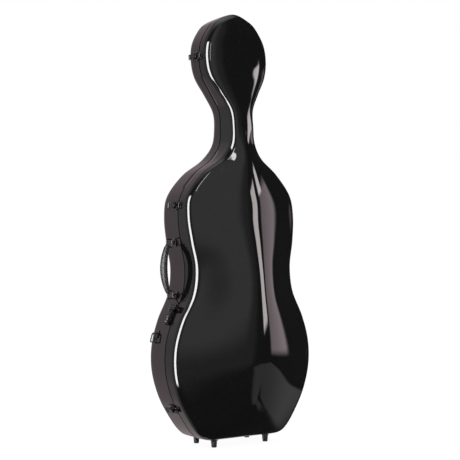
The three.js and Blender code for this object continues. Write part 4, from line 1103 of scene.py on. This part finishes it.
# Pads: foam blocks under plush, puffed a little by cloth simulation and pressed back into the room of their
# solids; the rounding that follows can pass that room by a fraction of a millimetre
pad = {"voxel": 5, "shrink": 3, "smoothing": 3, "pressure": 4, "frames": 20, "cap": 5, "clear": 0.1, "fill": 0.85}


def makePad(node):
    solid = nodeMesh(node)
    room = BVHTree.FromBMesh(solid)
    piece = softPiece(node + "_plush", node, solid, pad)
    puff(piece)
    clear = pad["clear"] * mm
    for vert in piece.data.vertices:
        near, normal, _, _ = room.find_nearest(vert.co)
        if (vert.co - near).dot(normal) > -clear:
            vert.co = near - normal * clear
    piece.modifiers.new("round", "SUBSURF").levels = 1
    settle(piece)
    piece.data.shade_smooth()
    dress(piece, "pad_plush", node, slot="plush")


def puff(piece):
    start = [vert.co.copy() for vert in piece.data.vertices]
    cloth = piece.modifiers.new("cloth", "CLOTH")
    cloth.settings.use_pressure = True
    cloth.settings.uniform_pressure_force = pad["pressure"]
    cloth.settings.effector_weights.gravity = 0
    for step in range(1, pad["frames"] + 1):
        bpy.context.scene.frame_set(step)
    settle(piece)
    bpy.context.scene.frame_set(1)
    cap = pad["cap"] * mm
    for vert, before in zip(piece.data.vertices, start):
        move = vert.co - before
        if move.length > cap:
            vert.co = before + move.normalized() * cap


for node in ("lower_bout_pad_left", "lower_bout_pad_right", "upper_bout_pad_left", "upper_bout_pad_right",
             "endpin_block", "neck_cradle"):
    makePad(node)
print("pads made")

# Neck strap: webbing over the cradle with a short lap of the same webbing on top
neckStrap = {
    "height": 934.5, "rimAt": 7.7, "rise": 17, "width": 28, "thickness": 1.9, "endGap": 1.4, "lapFrom": 0.42,
    "lapTo": 0.7, "rows": 49,
    "section": [(-1, -0.4), (-0.97, -1), (0, -1), (0.97, -1), (1, -0.4),
                (1, 0.4), (0.97, 1), (0, 1), (-0.97, 1), (-1, 0.4)],
}


def makeNeckStrap():
    low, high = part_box("neck_strap")
    half = (high[0] - low[0]) / 2 - neckStrap["endGap"] * mm
    wide, thick = neckStrap["width"] / 2 * mm, neckStrap["thickness"] / 2 * mm
    section = [(wide * x, thick * z) for x, z in neckStrap["section"]]

    def ribbon(name, start, end, lift):
        path = []
        for share in np.linspace(start, end, neckStrap["rows"]):
            turn = math.pi * share
            y = neckStrap["rimAt"] * mm - (neckStrap["rise"] + lift) * mm * math.sin(turn) + case["seamDepth"]
            path.append(Vector((-half * math.cos(turn), y, neckStrap["height"] * mm)))
        return sweptMesh(name, path, Vector((0, 0, 1)), [section] * len(path), "base", 60)

    dress(ribbon("neck_strap_webbing", 0, 1, 0), "webbing", "neck_strap")
    dress(ribbon("neck_strap_lap", neckStrap["lapFrom"], neckStrap["lapTo"], neckStrap["thickness"]), "webbing")


makeNeckStrap()

# Bow holders: turn clips of moulded plastic, and soft pouches for the tips
bowHolder = {"voxel": 1.3, "smoothing": 6, "ease": 0.8, "fill": 0.5}


def makePouch(node):
    piece = softPiece(node + "_sewn", node, nodeMesh(node), bowHolder)
    piece.data.shade_smooth()
    dress(piece, "pad_plush", node, slot="plush")


for hand in ("left", "right"):
    easedFitting(f"bow_clip_post_{hand}", "black_hardware", bowHolder["ease"])
    easedFitting(f"bow_clip_{hand}", "clip_plastic", bowHolder["ease"])
    makePouch(f"bow_pouch_{hand}")
print("bow holders made")
